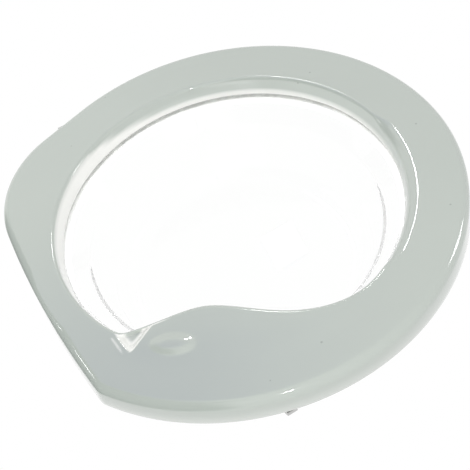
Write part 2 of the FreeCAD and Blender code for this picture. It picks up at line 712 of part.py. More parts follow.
def hinge_pin():
    """Headed pin through both lugs, with a groove for its clip."""
    shank = rod_z(PIN_RADIUS, AXIS_X, AXIS_Y, HINGE_BOTTOM_Z - PIN_TAIL, HINGE_TOP_Z)
    head = rod_z(PIN_HEAD_RADIUS, AXIS_X, AXIS_Y, HINGE_TOP_Z, HINGE_TOP_Z + PIN_HEAD_HEIGHT)
    top = HINGE_BOTTOM_Z - CLIP_DROP
    bottom = top - CLIP_THICKNESS
    groove = rod_z(PIN_RADIUS, AXIS_X, AXIS_Y, bottom, top)
    groove = groove.cut(rod_z(CLIP_GROOVE_RADIUS, AXIS_X, AXIS_Y, bottom, top))
    return shank.fuse(head).cut(groove).removeSplitter()


def hinge_pin_clip():
    """Open spring clip in the groove at the foot of the pin."""
    top = HINGE_BOTTOM_Z - CLIP_DROP
    bottom = top - CLIP_THICKNESS
    grip = CLIP_GROOVE_RADIUS
    clip = rod_z(CLIP_RADIUS, AXIS_X, AXIS_Y, bottom, top)
    bore = rod_z(grip + RUNNING_CLEARANCE, AXIS_X, AXIS_Y, bottom, top)
    mouth = block(AXIS_X, AXIS_X + CLIP_RADIUS, AXIS_Y - grip, AXIS_Y + grip, bottom, top)
    return clip.cut([bore, mouth])


def hinge_bush(end_z, direction):
    """Flanged plastic bush pressed into one end of the arm's knuckle."""
    along = ALONG_Z * direction
    foot = Vector(AXIS_X, AXIS_Y, end_z)
    sleeve = Part.makeCylinder(PIN_RADIUS + BUSH_WALL, BUSH_LENGTH, foot - along * BUSH_LENGTH, along)
    flange = Part.makeCylinder(BUSH_FLANGE_RADIUS, BUSH_FLANGE_THICKNESS, foot, along)
    length = BUSH_LENGTH + BUSH_FLANGE_THICKNESS
    bore = Part.makeCylinder(PIN_RADIUS + RUNNING_CLEARANCE, length, foot - along * BUSH_LENGTH, along)
    return sleeve.fuse(flange).cut(bore).removeSplitter()


# Latch

def around_latch(half_width, y_low, y_high, half_height):
    """Block that lies evenly about the hook in plan."""
    left = LATCH_X - half_width
    right = LATCH_X + half_width
    return block(left, right, y_low, y_high, LATCH_Z - half_height, LATCH_Z + half_height)


def guide_fin():
    """Fin behind the carrier that leads the closing door into the lock."""
    half = FIN_WIDTH / 2
    tip_y = CARRIER_REAR_Y + FIN_LENGTH
    corners = [
        (LATCH_X - half, REAR_Y, 0),
        (LATCH_X + half, REAR_Y, 0),
        (LATCH_X + half, tip_y - FIN_SLOPE, FIN_ROUND),
        (LATCH_X + FIN_TIP / 2, tip_y, FIN_ROUND),
        (LATCH_X - FIN_TIP / 2, tip_y, FIN_ROUND),
    ]
    middle = LATCH_Z + FIN_OFFSET
    return prism_z(corners, middle - FIN_THICKNESS / 2, middle + FIN_THICKNESS / 2)


def latch_carrier():
    """Moulded box that holds the hook's pin, with a screwed plate and a guide fin behind it."""
    low = LATCH_Z - CARRIER_PLATE_HEIGHT / 2
    high = LATCH_Z + CARRIER_PLATE_HEIGHT / 2
    left = LATCH_X - CARRIER_PLATE_WIDTH / 2
    right = LATCH_X + CARRIER_PLATE_WIDTH / 2
    plate = plan_plate(left, right, low, high, REAR_Y, CARRIER_REAR_Y, CARRIER_CORNER)
    half_width = CARRIER_BOX_WIDTH / 2
    half_height = CARRIER_BOX_HEIGHT / 2
    front = REAR_Y - CARRIER_BOX_DEPTH
    box = around_latch(half_width, front, REAR_Y, half_height)
    inside = around_latch(
        half_width - CARRIER_WALL, front + CARRIER_WALL, REAR_Y, half_height - CARRIER_WALL)
    half_slot = HOOK_THICKNESS / 2 + HOOK_SLOT_CLEARANCE
    slot = around_latch(HOOK_SLOT_WIDTH / 2, REAR_Y, CARRIER_REAR_Y, half_slot)
    pin_fit = LATCH_PIN_RADIUS + RUNNING_CLEARANCE
    pin_hole = rod_z(pin_fit, LATCH_X, HOOK_PIVOT_Y, LATCH_Z - half_height, LATCH_Z + half_height)
    screw_fit = SCREW_RADIUS + RUNNING_CLEARANCE
    holes = [rod_y(screw_fit, x, z, REAR_Y, CARRIER_REAR_Y) for x, z in carrier_screw_places()]
    return plate.fuse([box, guide_fin()]).cut([inside, slot, pin_hole] + holes).removeSplitter()


def latch_hook():
    """Cast hook: a boss on the pin, a straight arm and a barb that points outwards."""
    low = LATCH_Z - HOOK_THICKNESS / 2
    high = LATCH_Z + HOOK_THICKNESS / 2
    half = HOOK_ARM_WIDTH / 2
    tip_y = HOOK_PIVOT_Y + HOOK_LENGTH
    barb_y = tip_y - HOOK_BARB_LENGTH
    corners = [
        (LATCH_X - half, HOOK_PIVOT_Y, 0),
        (LATCH_X + half, HOOK_PIVOT_Y, 0),
        (LATCH_X + half, barb_y, HOOK_ROUND),
        (LATCH_X + half + HOOK_BARB, barb_y + HOOK_BARB_SLOPE, HOOK_NOSE_ROUND),
        (LATCH_X + half + HOOK_BARB, barb_y + HOOK_BARB_SLOPE + HOOK_BARB_NOSE, HOOK_ROUND),
        (LATCH_X + half, tip_y, HOOK_ROUND),
        (LATCH_X - half, tip_y - HOOK_TIP_SLOPE, HOOK_ROUND),
    ]
    boss = rod_z(HOOK_BOSS_RADIUS, LATCH_X, HOOK_PIVOT_Y, low, high)
    bore = rod_z(LATCH_PIN_RADIUS + RUNNING_CLEARANCE, LATCH_X, HOOK_PIVOT_Y, low, high)
    return prism_z(corners, low, high).fuse(boss).cut(bore).removeSplitter()


def latch_pin():
    """Steel pin across the carrier."""
    half = CARRIER_BOX_HEIGHT / 2
    return rod_z(LATCH_PIN_RADIUS, LATCH_X, HOOK_PIVOT_Y, LATCH_Z - half, LATCH_Z + half)


def spring_coil():
    """Coil wound about the upright axis, with a many-sided wire, from its first leg to its second."""
    steps = SPRING_SIDES * SPRING_TURNS
    path = []
    for step in range(steps + 1):
        x, y = polar(SPRING_RADIUS, 180 + 360 * step / SPRING_SIDES)
        path.append(Vector(x, y, SPRING_PITCH * step / SPRING_SIDES))
    corners = []
    for side in range(SPRING_WIRE_SIDES):
        x, z = polar(SPRING_WIRE_RADIUS, 360 * side / SPRING_WIRE_SIDES)
        corners.append(path[0] + Vector(x, 0, z))
    section = Part.makePolygon(corners + corners[:1])
    return Part.makePolygon(path).makePipeShell([section], True, True, 1)


def latch_spring():
    """Torsion spring round the pin above the hook, one leg along the hook and one on the carrier."""
    low = LATCH_Z + HOOK_THICKNESS / 2 + SPRING_GAP + SPRING_WIRE_RADIUS
    high = low + SPRING_PITCH * SPRING_TURNS
    coil = outward(spring_coil())
    coil.translate(Vector(LATCH_X, HOOK_PIVOT_Y, low))
    x = LATCH_X - SPRING_RADIUS
    hook_leg = rod_y(SPRING_WIRE_RADIUS, x, low, HOOK_PIVOT_Y, HOOK_PIVOT_Y + SPRING_LEG)
    carrier_leg = rod_y(SPRING_WIRE_RADIUS, x, high, HOOK_PIVOT_Y - SPRING_LEG, HOOK_PIVOT_Y)
    return coil.fuse([hook_leg, carrier_leg])


# Every piece under its node name

def pieces():
    """Name and solids of every piece of the door."""
    knuckle_top = HINGE_Z + KNUCKLE_LENGTH / 2
    knuckle_bottom = HINGE_Z - KNUCKLE_LENGTH / 2
    return {
        "front_frame": [front_frame()],
        "grip_liner": [grip_liner()],
        "glass_gasket": [glass_gasket()],
        "glass_bowl": [glass_bowl()],
        "rear_frame": [rear_frame()],
        "frame_screws": [pan_screw(x, z, REAR_Y) for x, z in screw_places()],
        "stop_buffers": [stop_buffer(x, z) for x, z in buffer_places()],
        "hinge_bracket": [hinge_bracket()],
        "hinge_arm": [hinge_arm()],
        "hinge_arm_screws": [arm_screw(x, z) for x, z in arm_screw_places()],
        "hinge_backing_plate": [hinge_backing_plate()],
        "hinge_pin": [hinge_pin()],
        "hinge_pin_clip": [hinge_pin_clip()],
        "hinge_bush_upper": [hinge_bush(knuckle_top, 1)],
        "hinge_bush_lower": [hinge_bush(knuckle_bottom, -1)],
        "latch_carrier": [latch_carrier()],
        "latch_hook": [latch_hook()],
        "latch_pin": [latch_pin()],
        "latch_spring": [latch_spring()],
        "latch_screws": [pan_screw(x, z, CARRIER_REAR_Y) for x, z in carrier_screw_places()],
    }


def main():
    """Write each piece as one STEP file, about the middle of the hinge bracket's screw pattern."""
    os.makedirs("parts", exist_ok=True)
    for name, solids in pieces().items():
        shape = solids[0] if len(solids) == 1 else Part.makeCompound(solids)
        shape.translate(-ORIGIN)
        shape.exportStep(os.path.join("parts", name + ".step"))
        print(name, "solids", len(shape.Solids), "volume", round(shape.Volume), "valid", shape.isValid())


main()
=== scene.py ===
"""Looks of a washing machine's porthole door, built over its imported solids.

Shapes are drawn in millimetres about the ring's centre, with the ring's axis along Y and its
front facing -Y, and moved into the row frame as they become meshes.
"""
import logging
import math
from dataclasses import dataclass, field, replace
from enum import Enum

import bmesh
import bpy
import numpy as np
from mathutils import Matrix, Vector


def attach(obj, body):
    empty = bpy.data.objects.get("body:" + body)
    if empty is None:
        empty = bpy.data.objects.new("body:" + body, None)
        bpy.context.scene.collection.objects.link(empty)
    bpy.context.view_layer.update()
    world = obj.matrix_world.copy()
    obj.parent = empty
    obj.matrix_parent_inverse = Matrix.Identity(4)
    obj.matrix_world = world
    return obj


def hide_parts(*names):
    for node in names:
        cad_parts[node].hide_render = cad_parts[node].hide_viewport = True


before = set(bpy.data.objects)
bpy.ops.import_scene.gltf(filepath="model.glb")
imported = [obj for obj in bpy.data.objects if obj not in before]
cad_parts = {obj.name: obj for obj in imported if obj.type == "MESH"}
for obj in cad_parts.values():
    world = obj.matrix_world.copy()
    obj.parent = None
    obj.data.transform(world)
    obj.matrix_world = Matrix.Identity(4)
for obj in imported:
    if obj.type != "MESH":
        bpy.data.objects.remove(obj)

LOG = logging.getLogger("porthole_door")
MILLIMETRE = 0.001
RING_CENTRE = np.array([208.0, 0.0, 44.0])
WHITE = (1.0, 1.0, 1.0, 1.0)
NOISE_SPAN = (0.3, 0.7)
TINY = 1e-9
STRAIGHT = 0.999999
SIDE_SHARE = 0.98
WELD_DISTANCE = 2e-6
LEAST_EDGE = 1e-6
MIX_SHARE, MIX_FIRST, MIX_SECOND, MIX_RESULT = 0, 6, 7, 2

Array = np.ndarray
Values = Array | float
Pair = tuple[float, float]
Triple = tuple[float, float, float]
Colour = tuple[float, float, float, float]
Socket = bpy.types.NodeSocket
Inputs = dict[str | int, Socket | float | Colour]


class Body(Enum):
    """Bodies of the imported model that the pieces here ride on."""

    DOOR = "door"


class Slot(Enum):
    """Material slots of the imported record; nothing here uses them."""

    FRAME_PLASTIC = "frame_plastic"
    GLASS = "glass"


# Curves and meshes

def smooth_step(share: Array) -> Array:
    """Rise from 0 to 1 as 3 s squared less 2 s cubed, held flat outside."""
    held = np.clip(share, 0.0, 1.0)
    return held * held * (3.0 - 2.0 * held)


def soft_least(first: Array, second: Array, width: float) -> Array:
    """Lesser of two fields, with the corner between them rounded over a width.

    It is half of this: their sum less the root of their squared difference plus the squared width.
    """
    return 0.5 * (first + second - np.sqrt((first - second) ** 2 + width ** 2))


def bell(distance: Array, width: float) -> Array:
    """Bell curve: e to the power of minus the squared distance in widths."""
    return np.exp(-((distance / width) ** 2))


def span_share(place: Array, span: Pair, fades: Pair) -> Array:
    """Share of a span: it rises over one fade past the start and falls over one before the end."""
    return smooth_step((place - span[0]) / fades[0]) * smooth_step((span[1] - place) / fades[1])


def polar(radius: Values, angle: Array, depth: Values) -> Array:
    """Points with x = r cos a, y = depth and z = r sin a, the angle in radians."""
    radius, angle, depth = np.broadcast_arrays(radius, angle, depth)
    return np.stack([radius * np.cos(angle), depth, radius * np.sin(angle)], axis=-1)


@dataclass
class Surface:
    """Grid of points that becomes a mesh: rows run along a profile, columns along its path."""

    points: Array
    close_rows: bool = False
    close_columns: bool = False
    paint: Array | None = None

    def quads(self) -> Array:
        """Four neighbours of the grid for each face, wrapped round where it closes.

        Returns:
            One row of four point numbers for each face.
        """
        rows, columns = self.points.shape[:2]
        row = np.arange(rows if self.close_rows else rows - 1)[:, None]
        column = np.arange(columns if self.close_columns else columns - 1)[None, :]
        ahead = (row + 1) % rows
        beside = (column + 1) % columns
        ring = ((row, column), (row, beside), (ahead, beside), (ahead, column))
        grid = np.broadcast_arrays(*(down * columns + along for down, along in ring))
        return np.stack(grid, axis=-1).reshape(-1, 4)

    def build(self, name: str) -> bpy.types.Object:
        """Linked object with the grid as its mesh and any paint as an attribute of its points.

        Args:
            name: Name of the object and of its mesh.

        Returns:
            The object, at the origin.
        """
        quads = self.quads()
        mesh = bpy.data.meshes.new(name)
        mesh.vertices.add(self.points.size // 3)
        mesh.vertices.foreach_set("co", self.points.astype(np.float32).ravel())
        mesh.loops.add(quads.size)
        mesh.loops.foreach_set("vertex_index", quads.astype(np.int32).ravel())
        mesh.polygons.add(len(quads))
        mesh.polygons.foreach_set("loop_start", np.arange(0, quads.size, 4, dtype=np.int32))
        mesh.update(calc_edges=True)
        if self.paint is not None:
            coverage = mesh.attributes.new("paint", "FLOAT", "POINT")
            coverage.data.foreach_set("value", self.paint.astype(np.float32).ravel())
        sheet = bpy.data.objects.new(name, mesh)
        bpy.context.scene.collection.objects.link(sheet)
        return sheet


@dataclass
class Corner:
    """Corner of a profile in all columns, with the points on its arc and on the run after it."""

    points: Array
    rounding: Values = 0.0
    arc: int = 1
    run: int = 1


def count_rows(corners: list[Corner]) -> int:
    """How many rows of points the arcs and runs of some corners make."""
    return sum(corner.arc + corner.run for corner in corners)


def rounded_profile(corners: list[Corner]) -> Array:
    """Closed profile through corners, each rounded by a true arc, one profile for each column.

    An arc is the rational curve of second degree on a corner and its two points of contact, whose
    middle weight is the sine of half the corner's angle. A contact lies a radius over that half
    angle's tangent away, and two neighbours that would meet share the side between them by their
    radii.

    Args:
        corners: Corners in order.

    Returns:
        Points as rows by columns by three.
    """
    count = len(corners)
    columns = corners[0].points.shape[:1]
    widths = [
        np.broadcast_to(np.asarray(corner.rounding, float), columns)[:, None] for corner in corners]
    starts, ends, weights = [], [], []
    for index, corner in enumerate(corners):
        after = (index + 1) % count
        back = corners[index - 1].points - corner.points
        ahead = corners[after].points - corner.points
        back_length = np.linalg.norm(back, axis=-1, keepdims=True) + TINY
        ahead_length = np.linalg.norm(ahead, axis=-1, keepdims=True) + TINY
        back = back / back_length
        ahead = ahead / ahead_length
        cosine = np.sum(back * ahead, axis=-1, keepdims=True)
        half = 0.5 * np.arccos(np.clip(cosine, -STRAIGHT, STRAIGHT))
        radius = widths[index]
        back_share = radius / (radius + widths[index - 1] + TINY)
        ahead_share = radius / (radius + widths[after] + TINY)
        room = SIDE_SHARE * np.minimum(back_share * back_length, ahead_share * ahead_length)
        reach = np.minimum(radius / np.tan(half), room)
        starts.append(corner.points + back * reach)
        ends.append(corner.points + ahead * reach)
        weights.append(np.sin(half))
    rows = []
    for index, corner in enumerate(corners):
        share = np.linspace(0.0, 1.0, corner.arc)[:, None, None]
        early, late = (1 - share) ** 2, share ** 2
        middle = 2 * share * (1 - share) * weights[index]
        curve = early * starts[index] + middle * corner.points + late * ends[index]
        rows.append(curve / (early + middle + late))
        share = np.linspace(0.0, 1.0, corner.run + 2)[1:-1, None, None]
        rows.append((1 - share) * ends[index] + share * starts[(index + 1) % count])
    return np.concatenate(rows)


def make_piece(name: str, surface: Surface, crease: float) -> bpy.types.Object:
    """Piece of the door from a surface in millimetres about the ring's centre.

    Args:
        name: Name of the piece.
        surface: Grid that makes it up.
        crease: Angle in degrees past which an edge stays sharp.

    Returns:
        The linked object, at the origin, with its place in its mesh.
    """
    placed = (surface.points + RING_CENTRE) * MILLIMETRE
    piece = replace(surface, points=placed).build(name)
    mesh = piece.data
    weld(mesh)
    mesh.polygons.foreach_set("use_smooth", np.ones(len(mesh.polygons), bool))
    mesh.set_sharp_from_angle(angle=math.radians(crease))
    return piece


def weld(mesh: bpy.types.Mesh) -> None:
    """Merge points that fall together, drop faces with no area and turn the faces outwards.

    Args:
        mesh: Mesh to clean, in place.
    """
    work = bmesh.new()
    work.from_mesh(mesh)
    bmesh.ops.remove_doubles(work, verts=work.verts, dist=WELD_DISTANCE)
    bmesh.ops.dissolve_degenerate(work, edges=work.edges, dist=LEAST_EDGE)
    bmesh.ops.recalc_face_normals(work, faces=work.faces)
    work.to_mesh(mesh)
    work.free()


# Ring

@dataclass
class RingPlan:
    """Plan outline of the ring: a circle, a straight cheek and a bowed edge between corners."""

    outer_radius: float = 237.0
    flat_drop: float = 210.0
    flat_bow: float = 1150.0
    cheek_angle: float = math.radians(196.5)
    hinge_corner: float = 120.0
    latch_corner: float = 22.0
    pocket_top: float = 14.0
    pocket_x: float = -220.5
    half_wall: float = 1.5
    lip_end: float = math.radians(24.0)
    lip_columns: int = 300
    ring_columns: int = 200
    side_columns: int = 30
    pocket_columns: int = 12
    cheek_columns: int = 40
    hinge_columns: int = 50
    flat_columns: int = 150
    latch_columns: int = 50
    normal: Array = field(init=False)
    centre: Array = field(init=False)
    radius: Array = field(init=False)
    pocket: Array = field(init=False)

    def __post_init__(self) -> None:
        """Walk round the outline once: at each column its centre of curvature, radius and normal.

        A point drawn parallel by an inset is then the centre plus (radius less inset) along the
        normal, and on the cheek the centre slides along the straight line.
        """
        flat = np.array([0.0, self.flat_bow - self.flat_drop])
        cheek = np.array([math.cos(self.cheek_angle), math.sin(self.cheek_angle)])
        down = np.array([-cheek[1], cheek[0]])
        start = cheek * (self.outer_radius - self.hinge_corner) - flat
        along = start @ down
        span = math.sqrt(along ** 2 - start @ start + (self.flat_bow - self.hinge_corner) ** 2)
        cheek_run = span - along
        hinge_side = flat + start + down * cheek_run
        inner = self.outer_radius - self.latch_corner
        outer = self.flat_bow - self.latch_corner
        height = (inner ** 2 - outer ** 2 + flat[1] ** 2) / (2 * flat[1])
        latch_side = np.array([math.sqrt(inner ** 2 - height ** 2), height])
        flat_start = math.atan2(*(hinge_side - flat)[::-1])
        flat_end = math.atan2(*(latch_side - flat)[::-1])
        ring_start = math.atan2(*latch_side[::-1])
        middle = self.outer_radius - self.half_wall
        pocket_turn = math.pi - math.asin(self.pocket_top / middle)
        pocket_slide = (self.pocket_x - cheek[0] * middle) / down[0]
        whole = 2 * math.pi
        lip_turns = np.linspace(ring_start, self.lip_end, self.lip_columns, endpoint=False)
        ring_turns = np.linspace(self.lip_end, pocket_turn, self.ring_columns)
        side_turns = np.linspace(pocket_turn, self.cheek_angle, self.side_columns)
        pocket_slides = np.linspace(0, pocket_slide, self.pocket_columns)[1:]
        slides = np.concatenate(
            [pocket_slides, np.linspace(pocket_slide, cheek_run, self.cheek_columns)])
        hinge_turns = np.linspace(self.cheek_angle, flat_start + whole, self.hinge_columns)[1:]
        flat_turns = np.linspace(flat_start, flat_end, self.flat_columns)[1:] + whole
        latch_turns = np.linspace(flat_end, ring_start, self.latch_columns)[1:-1] + whole
        circle = np.concatenate([lip_turns, ring_turns, side_turns])
        cheek_turns = np.full(len(slides), self.cheek_angle)
        bends = (
            (hinge_turns, hinge_side, self.hinge_corner),
            (flat_turns, flat, self.flat_bow),
            (latch_turns, latch_side, self.latch_corner),
        )
        self.normal = np.concatenate([circle, cheek_turns, *(turns for turns, _, _ in bends)])
        self.centre = np.concatenate([
            np.zeros((len(circle), 2)),
            slides[:, None] * down,
            *(np.broadcast_to(centre, (len(turns), 2)) for turns, centre, _ in bends),
        ])
        self.radius = np.concatenate([
            np.full(len(circle) + len(slides), self.outer_radius),
            *(np.full(len(turns), radius) for turns, _, radius in bends),
        ])
        number = np.arange(len(self.normal))
        first = len(lip_turns) + len(ring_turns)
        last = len(circle) + len(pocket_slides) - 1
        self.pocket = (number >= first) & (number <= last)

    def outline(self, inset: Values, depth: Values) -> Array:
        """Points of the outline, drawn parallel to its outer wall.

        Args:
            inset: Distance inside the outer wall, one for all columns or one for each.
            depth: Place along Y.

        Returns:
            One point for each column.
        """
        reach = self.radius - inset
        x = self.centre[:, 0] + reach * np.cos(self.normal)
        z = self.centre[:, 1] + reach * np.sin(self.normal)
        return np.stack([x, np.broadcast_to(depth, x.shape), z], axis=-1)

    def plan_angle(self, inset: float) -> Array:
        """Plan angle of each column about the ring's axis, in radians from minus pi to pi."""
        points = self.outline(inset, 0.0)
        return np.arctan2(points[:, 2], points[:, 0])


@dataclass
class GripWave:
    """Lip that stands into the opening as a wave, with a thumb rest and a scooped steep end."""

    angle: float = math.radians(-35.5)
    reach: float = 53.0
    sink: float = 4.0
    steep_span: float = math.radians(28.5)
    fade_span: float = math.radians(58.0)
    foot_round: float = 8.0
    swell: float = 0.6
    blend_run: float = 25.0
    rest_place: Pair = (121.0, -124.0)
    rest_way: Pair = (0.57, 0.82)
    rest_reach: Pair = (24.0, 12.0)
    rest_height: float = 1.9
    scoop_left: Pair = (82.0, -162.0)
    scoop_tip: Pair = (106.0, -160.5)
    scoop_right: Pair = (90.0, -131.0)
    scoop_depth: float = 3.4
    scoop_wall: float = 6.0
    scoop_reach: float = 45.0
    # Painted highlight on the scoop's wall: its width, then the place of a thin painted shade line
    # in it.
    scoop_highlight_width: float = 9.0
    scoop_shade_line: float = 5.0
    scoop_ridge: float = 3.5
    scoop_corner: float = 4.0
    scoop_spread: float = 1.5
    scoop_fall: float = 4.0
    # Fades of that painted highlight, the painted shade line's share and width, then painted
    # highlight lines beside the scoop and along the lip's crest.
    scoop_highlight_fades: Pair = (0.8, 3.0)
    shade_line_share: float = 0.3
    shade_line_width: float = 0.5
    hook_highlight_gap: float = 5.6
    hook_highlight_run: Pair = (-4.0, 22.0)
    hook_highlight_fades: Pair = (4.0, 10.0)
    hook_highlight_width: float = 0.6
    crest_highlight_gap: float = 5.5
    crest_highlight_span: Pair = (math.radians(-57.0), math.radians(-49.5))
    crest_highlight_fades: Pair = (0.02, 0.09)
    crest_highlight_width: float = 0.8
    hollow_span: Pair = (math.radians(-55.9), math.radians(-9.0))

    def edge(self, angle: Array, rim: float) -> Array:
        """Radius of the lip's edge: the rim less the reach times a share of the wave.

        The share falls as a parabola down the steep end, whose foot runs softly into the rim, and
        as a squared cosine down the long end.

        Args:
            angle: Plan angles of the columns.
            rim: Radius of the plain rim.

        Returns:
            Radius at each angle.
        """
        past = angle - self.angle
        down = np.clip(-past / self.steep_span, 0.0, 1.0)
        share = 1.0 - (past / self.steep_span) ** 2
        parabola = rim + self.sink - (self.reach + self.sink) * share
        steep = soft_least(np.full_like(angle, rim), parabola, self.foot_round * down)
        quarter = 0.5 * math.pi * np.clip(past / self.fade_span, 0.0, 1.0)
        return np.where(past < 0.0, steep, rim - self.reach * np.cos(quarter) ** 2)

    def blend(self, edge: Array, rim: float) -> Array:
        """How far the lip has taken over from the plain rim, by how far its edge has moved in."""
        return smooth_step((rim - edge) / self.blend_run)

    def within_scoop(self, points: Array) -> Array:
        """Distance inside the scoop, on the opening's side of two lines that meet at its tip.

        Args:
            points: Points on the face.

        Returns:
            Millimetres inside the nearer line, less the further a point is from the scoop.
        """
        x, z = points[..., 0], points[..., 2]
        places = (self.scoop_left, self.scoop_tip, self.scoop_right)
        left, tip, right = (np.array(place) for place in places)
        sides = self.side(x, z, left, tip), self.side(x, z, tip, right)
        nearer = soft_least(*sides, self.scoop_corner) + self.scoop_spread
        far = np.hypot(x - left[0], z - left[1])
        return nearer - self.scoop_fall * np.clip(far - self.scoop_reach, 0.0, None)

    def raised(self, points: Array) -> Array:
        """Height of the thumb rest: an oval bump, 1 less the squared share of its reach, softened.

        Args:
            points: Points on the face.

        Returns:
            How far each point rises.
        """
        x, z = points[..., 0] - self.rest_place[0], points[..., 2] - self.rest_place[1]
        along = self.rest_way[0] * x + self.rest_way[1] * z
        beside = self.rest_way[0] * z - self.rest_way[1] * x
        away = np.hypot(along / self.rest_reach[0], beside / self.rest_reach[1])
        return self.rest_height * smooth_step(1.0 - away ** 2)

    def pressed(self, points: Array, edge: Array) -> Array:
        """Depth of the scoop, which falls over its wall and leaves a ridge along the lip's edge.

        Args:
            points: Points on the face.
            edge: Radius of the lip's edge in each column.

        Returns:
            How far each point sinks.
        """
        inward = np.hypot(points[..., 0], points[..., 2]) - edge
        ridge = smooth_step((inward - self.scoop_ridge) / self.scoop_ridge)
        return self.scoop_depth * ridge * smooth_step(self.within_scoop(points) / self.scoop_wall)

    def glow(self, points: Array, rim: float) -> Array:
        """Share of painted highlight on the scoop's wall, with a thin painted shade line, and two
        lines beside it.

        Args:
            points: Points on the face.
            rim: Radius of the plain rim.

        Returns:
            1 on the painted highlights and 0 on the plain face.
        """
        within = self.within_scoop(points)
        band = span_share(within, (0.0, self.scoop_highlight_width), self.scoop_highlight_fades)
        line = 1.0 - self.shade_line_share * bell(within - self.scoop_shade_line, self.shade_line_width)
        left, tip = np.array(self.scoop_left), np.array(self.scoop_tip)
        run = tip - left
        x, z = points[..., 0], points[..., 2]
        along = ((x - left[0]) * run[0] + (z - left[1]) * run[1]) / np.linalg.norm(run)
        ends = span_share(along, self.hook_highlight_run, self.hook_highlight_fades)
        hook = ends * bell(self.side(x, z, left, tip) + self.hook_highlight_gap, self.hook_highlight_width)
        turn = np.arctan2(z, x)
        span = span_share(turn, self.crest_highlight_span, self.crest_highlight_fades)
        inward = np.hypot(x, z) - self.edge(turn, rim)
        crest = span * bell(inward - self.crest_highlight_gap, self.crest_highlight_width)
        return np.maximum(np.maximum(band * line, hook), crest)

    @staticmethod
    def side(x: Array, z: Array, start: Array, end: Array) -> Array:
        """Distance of plan points to the left of the line from start to end."""
        run = (end - start) / np.linalg.norm(end - start)
        return run[0] * (z - start[1]) - run[1] * (x - start[0])


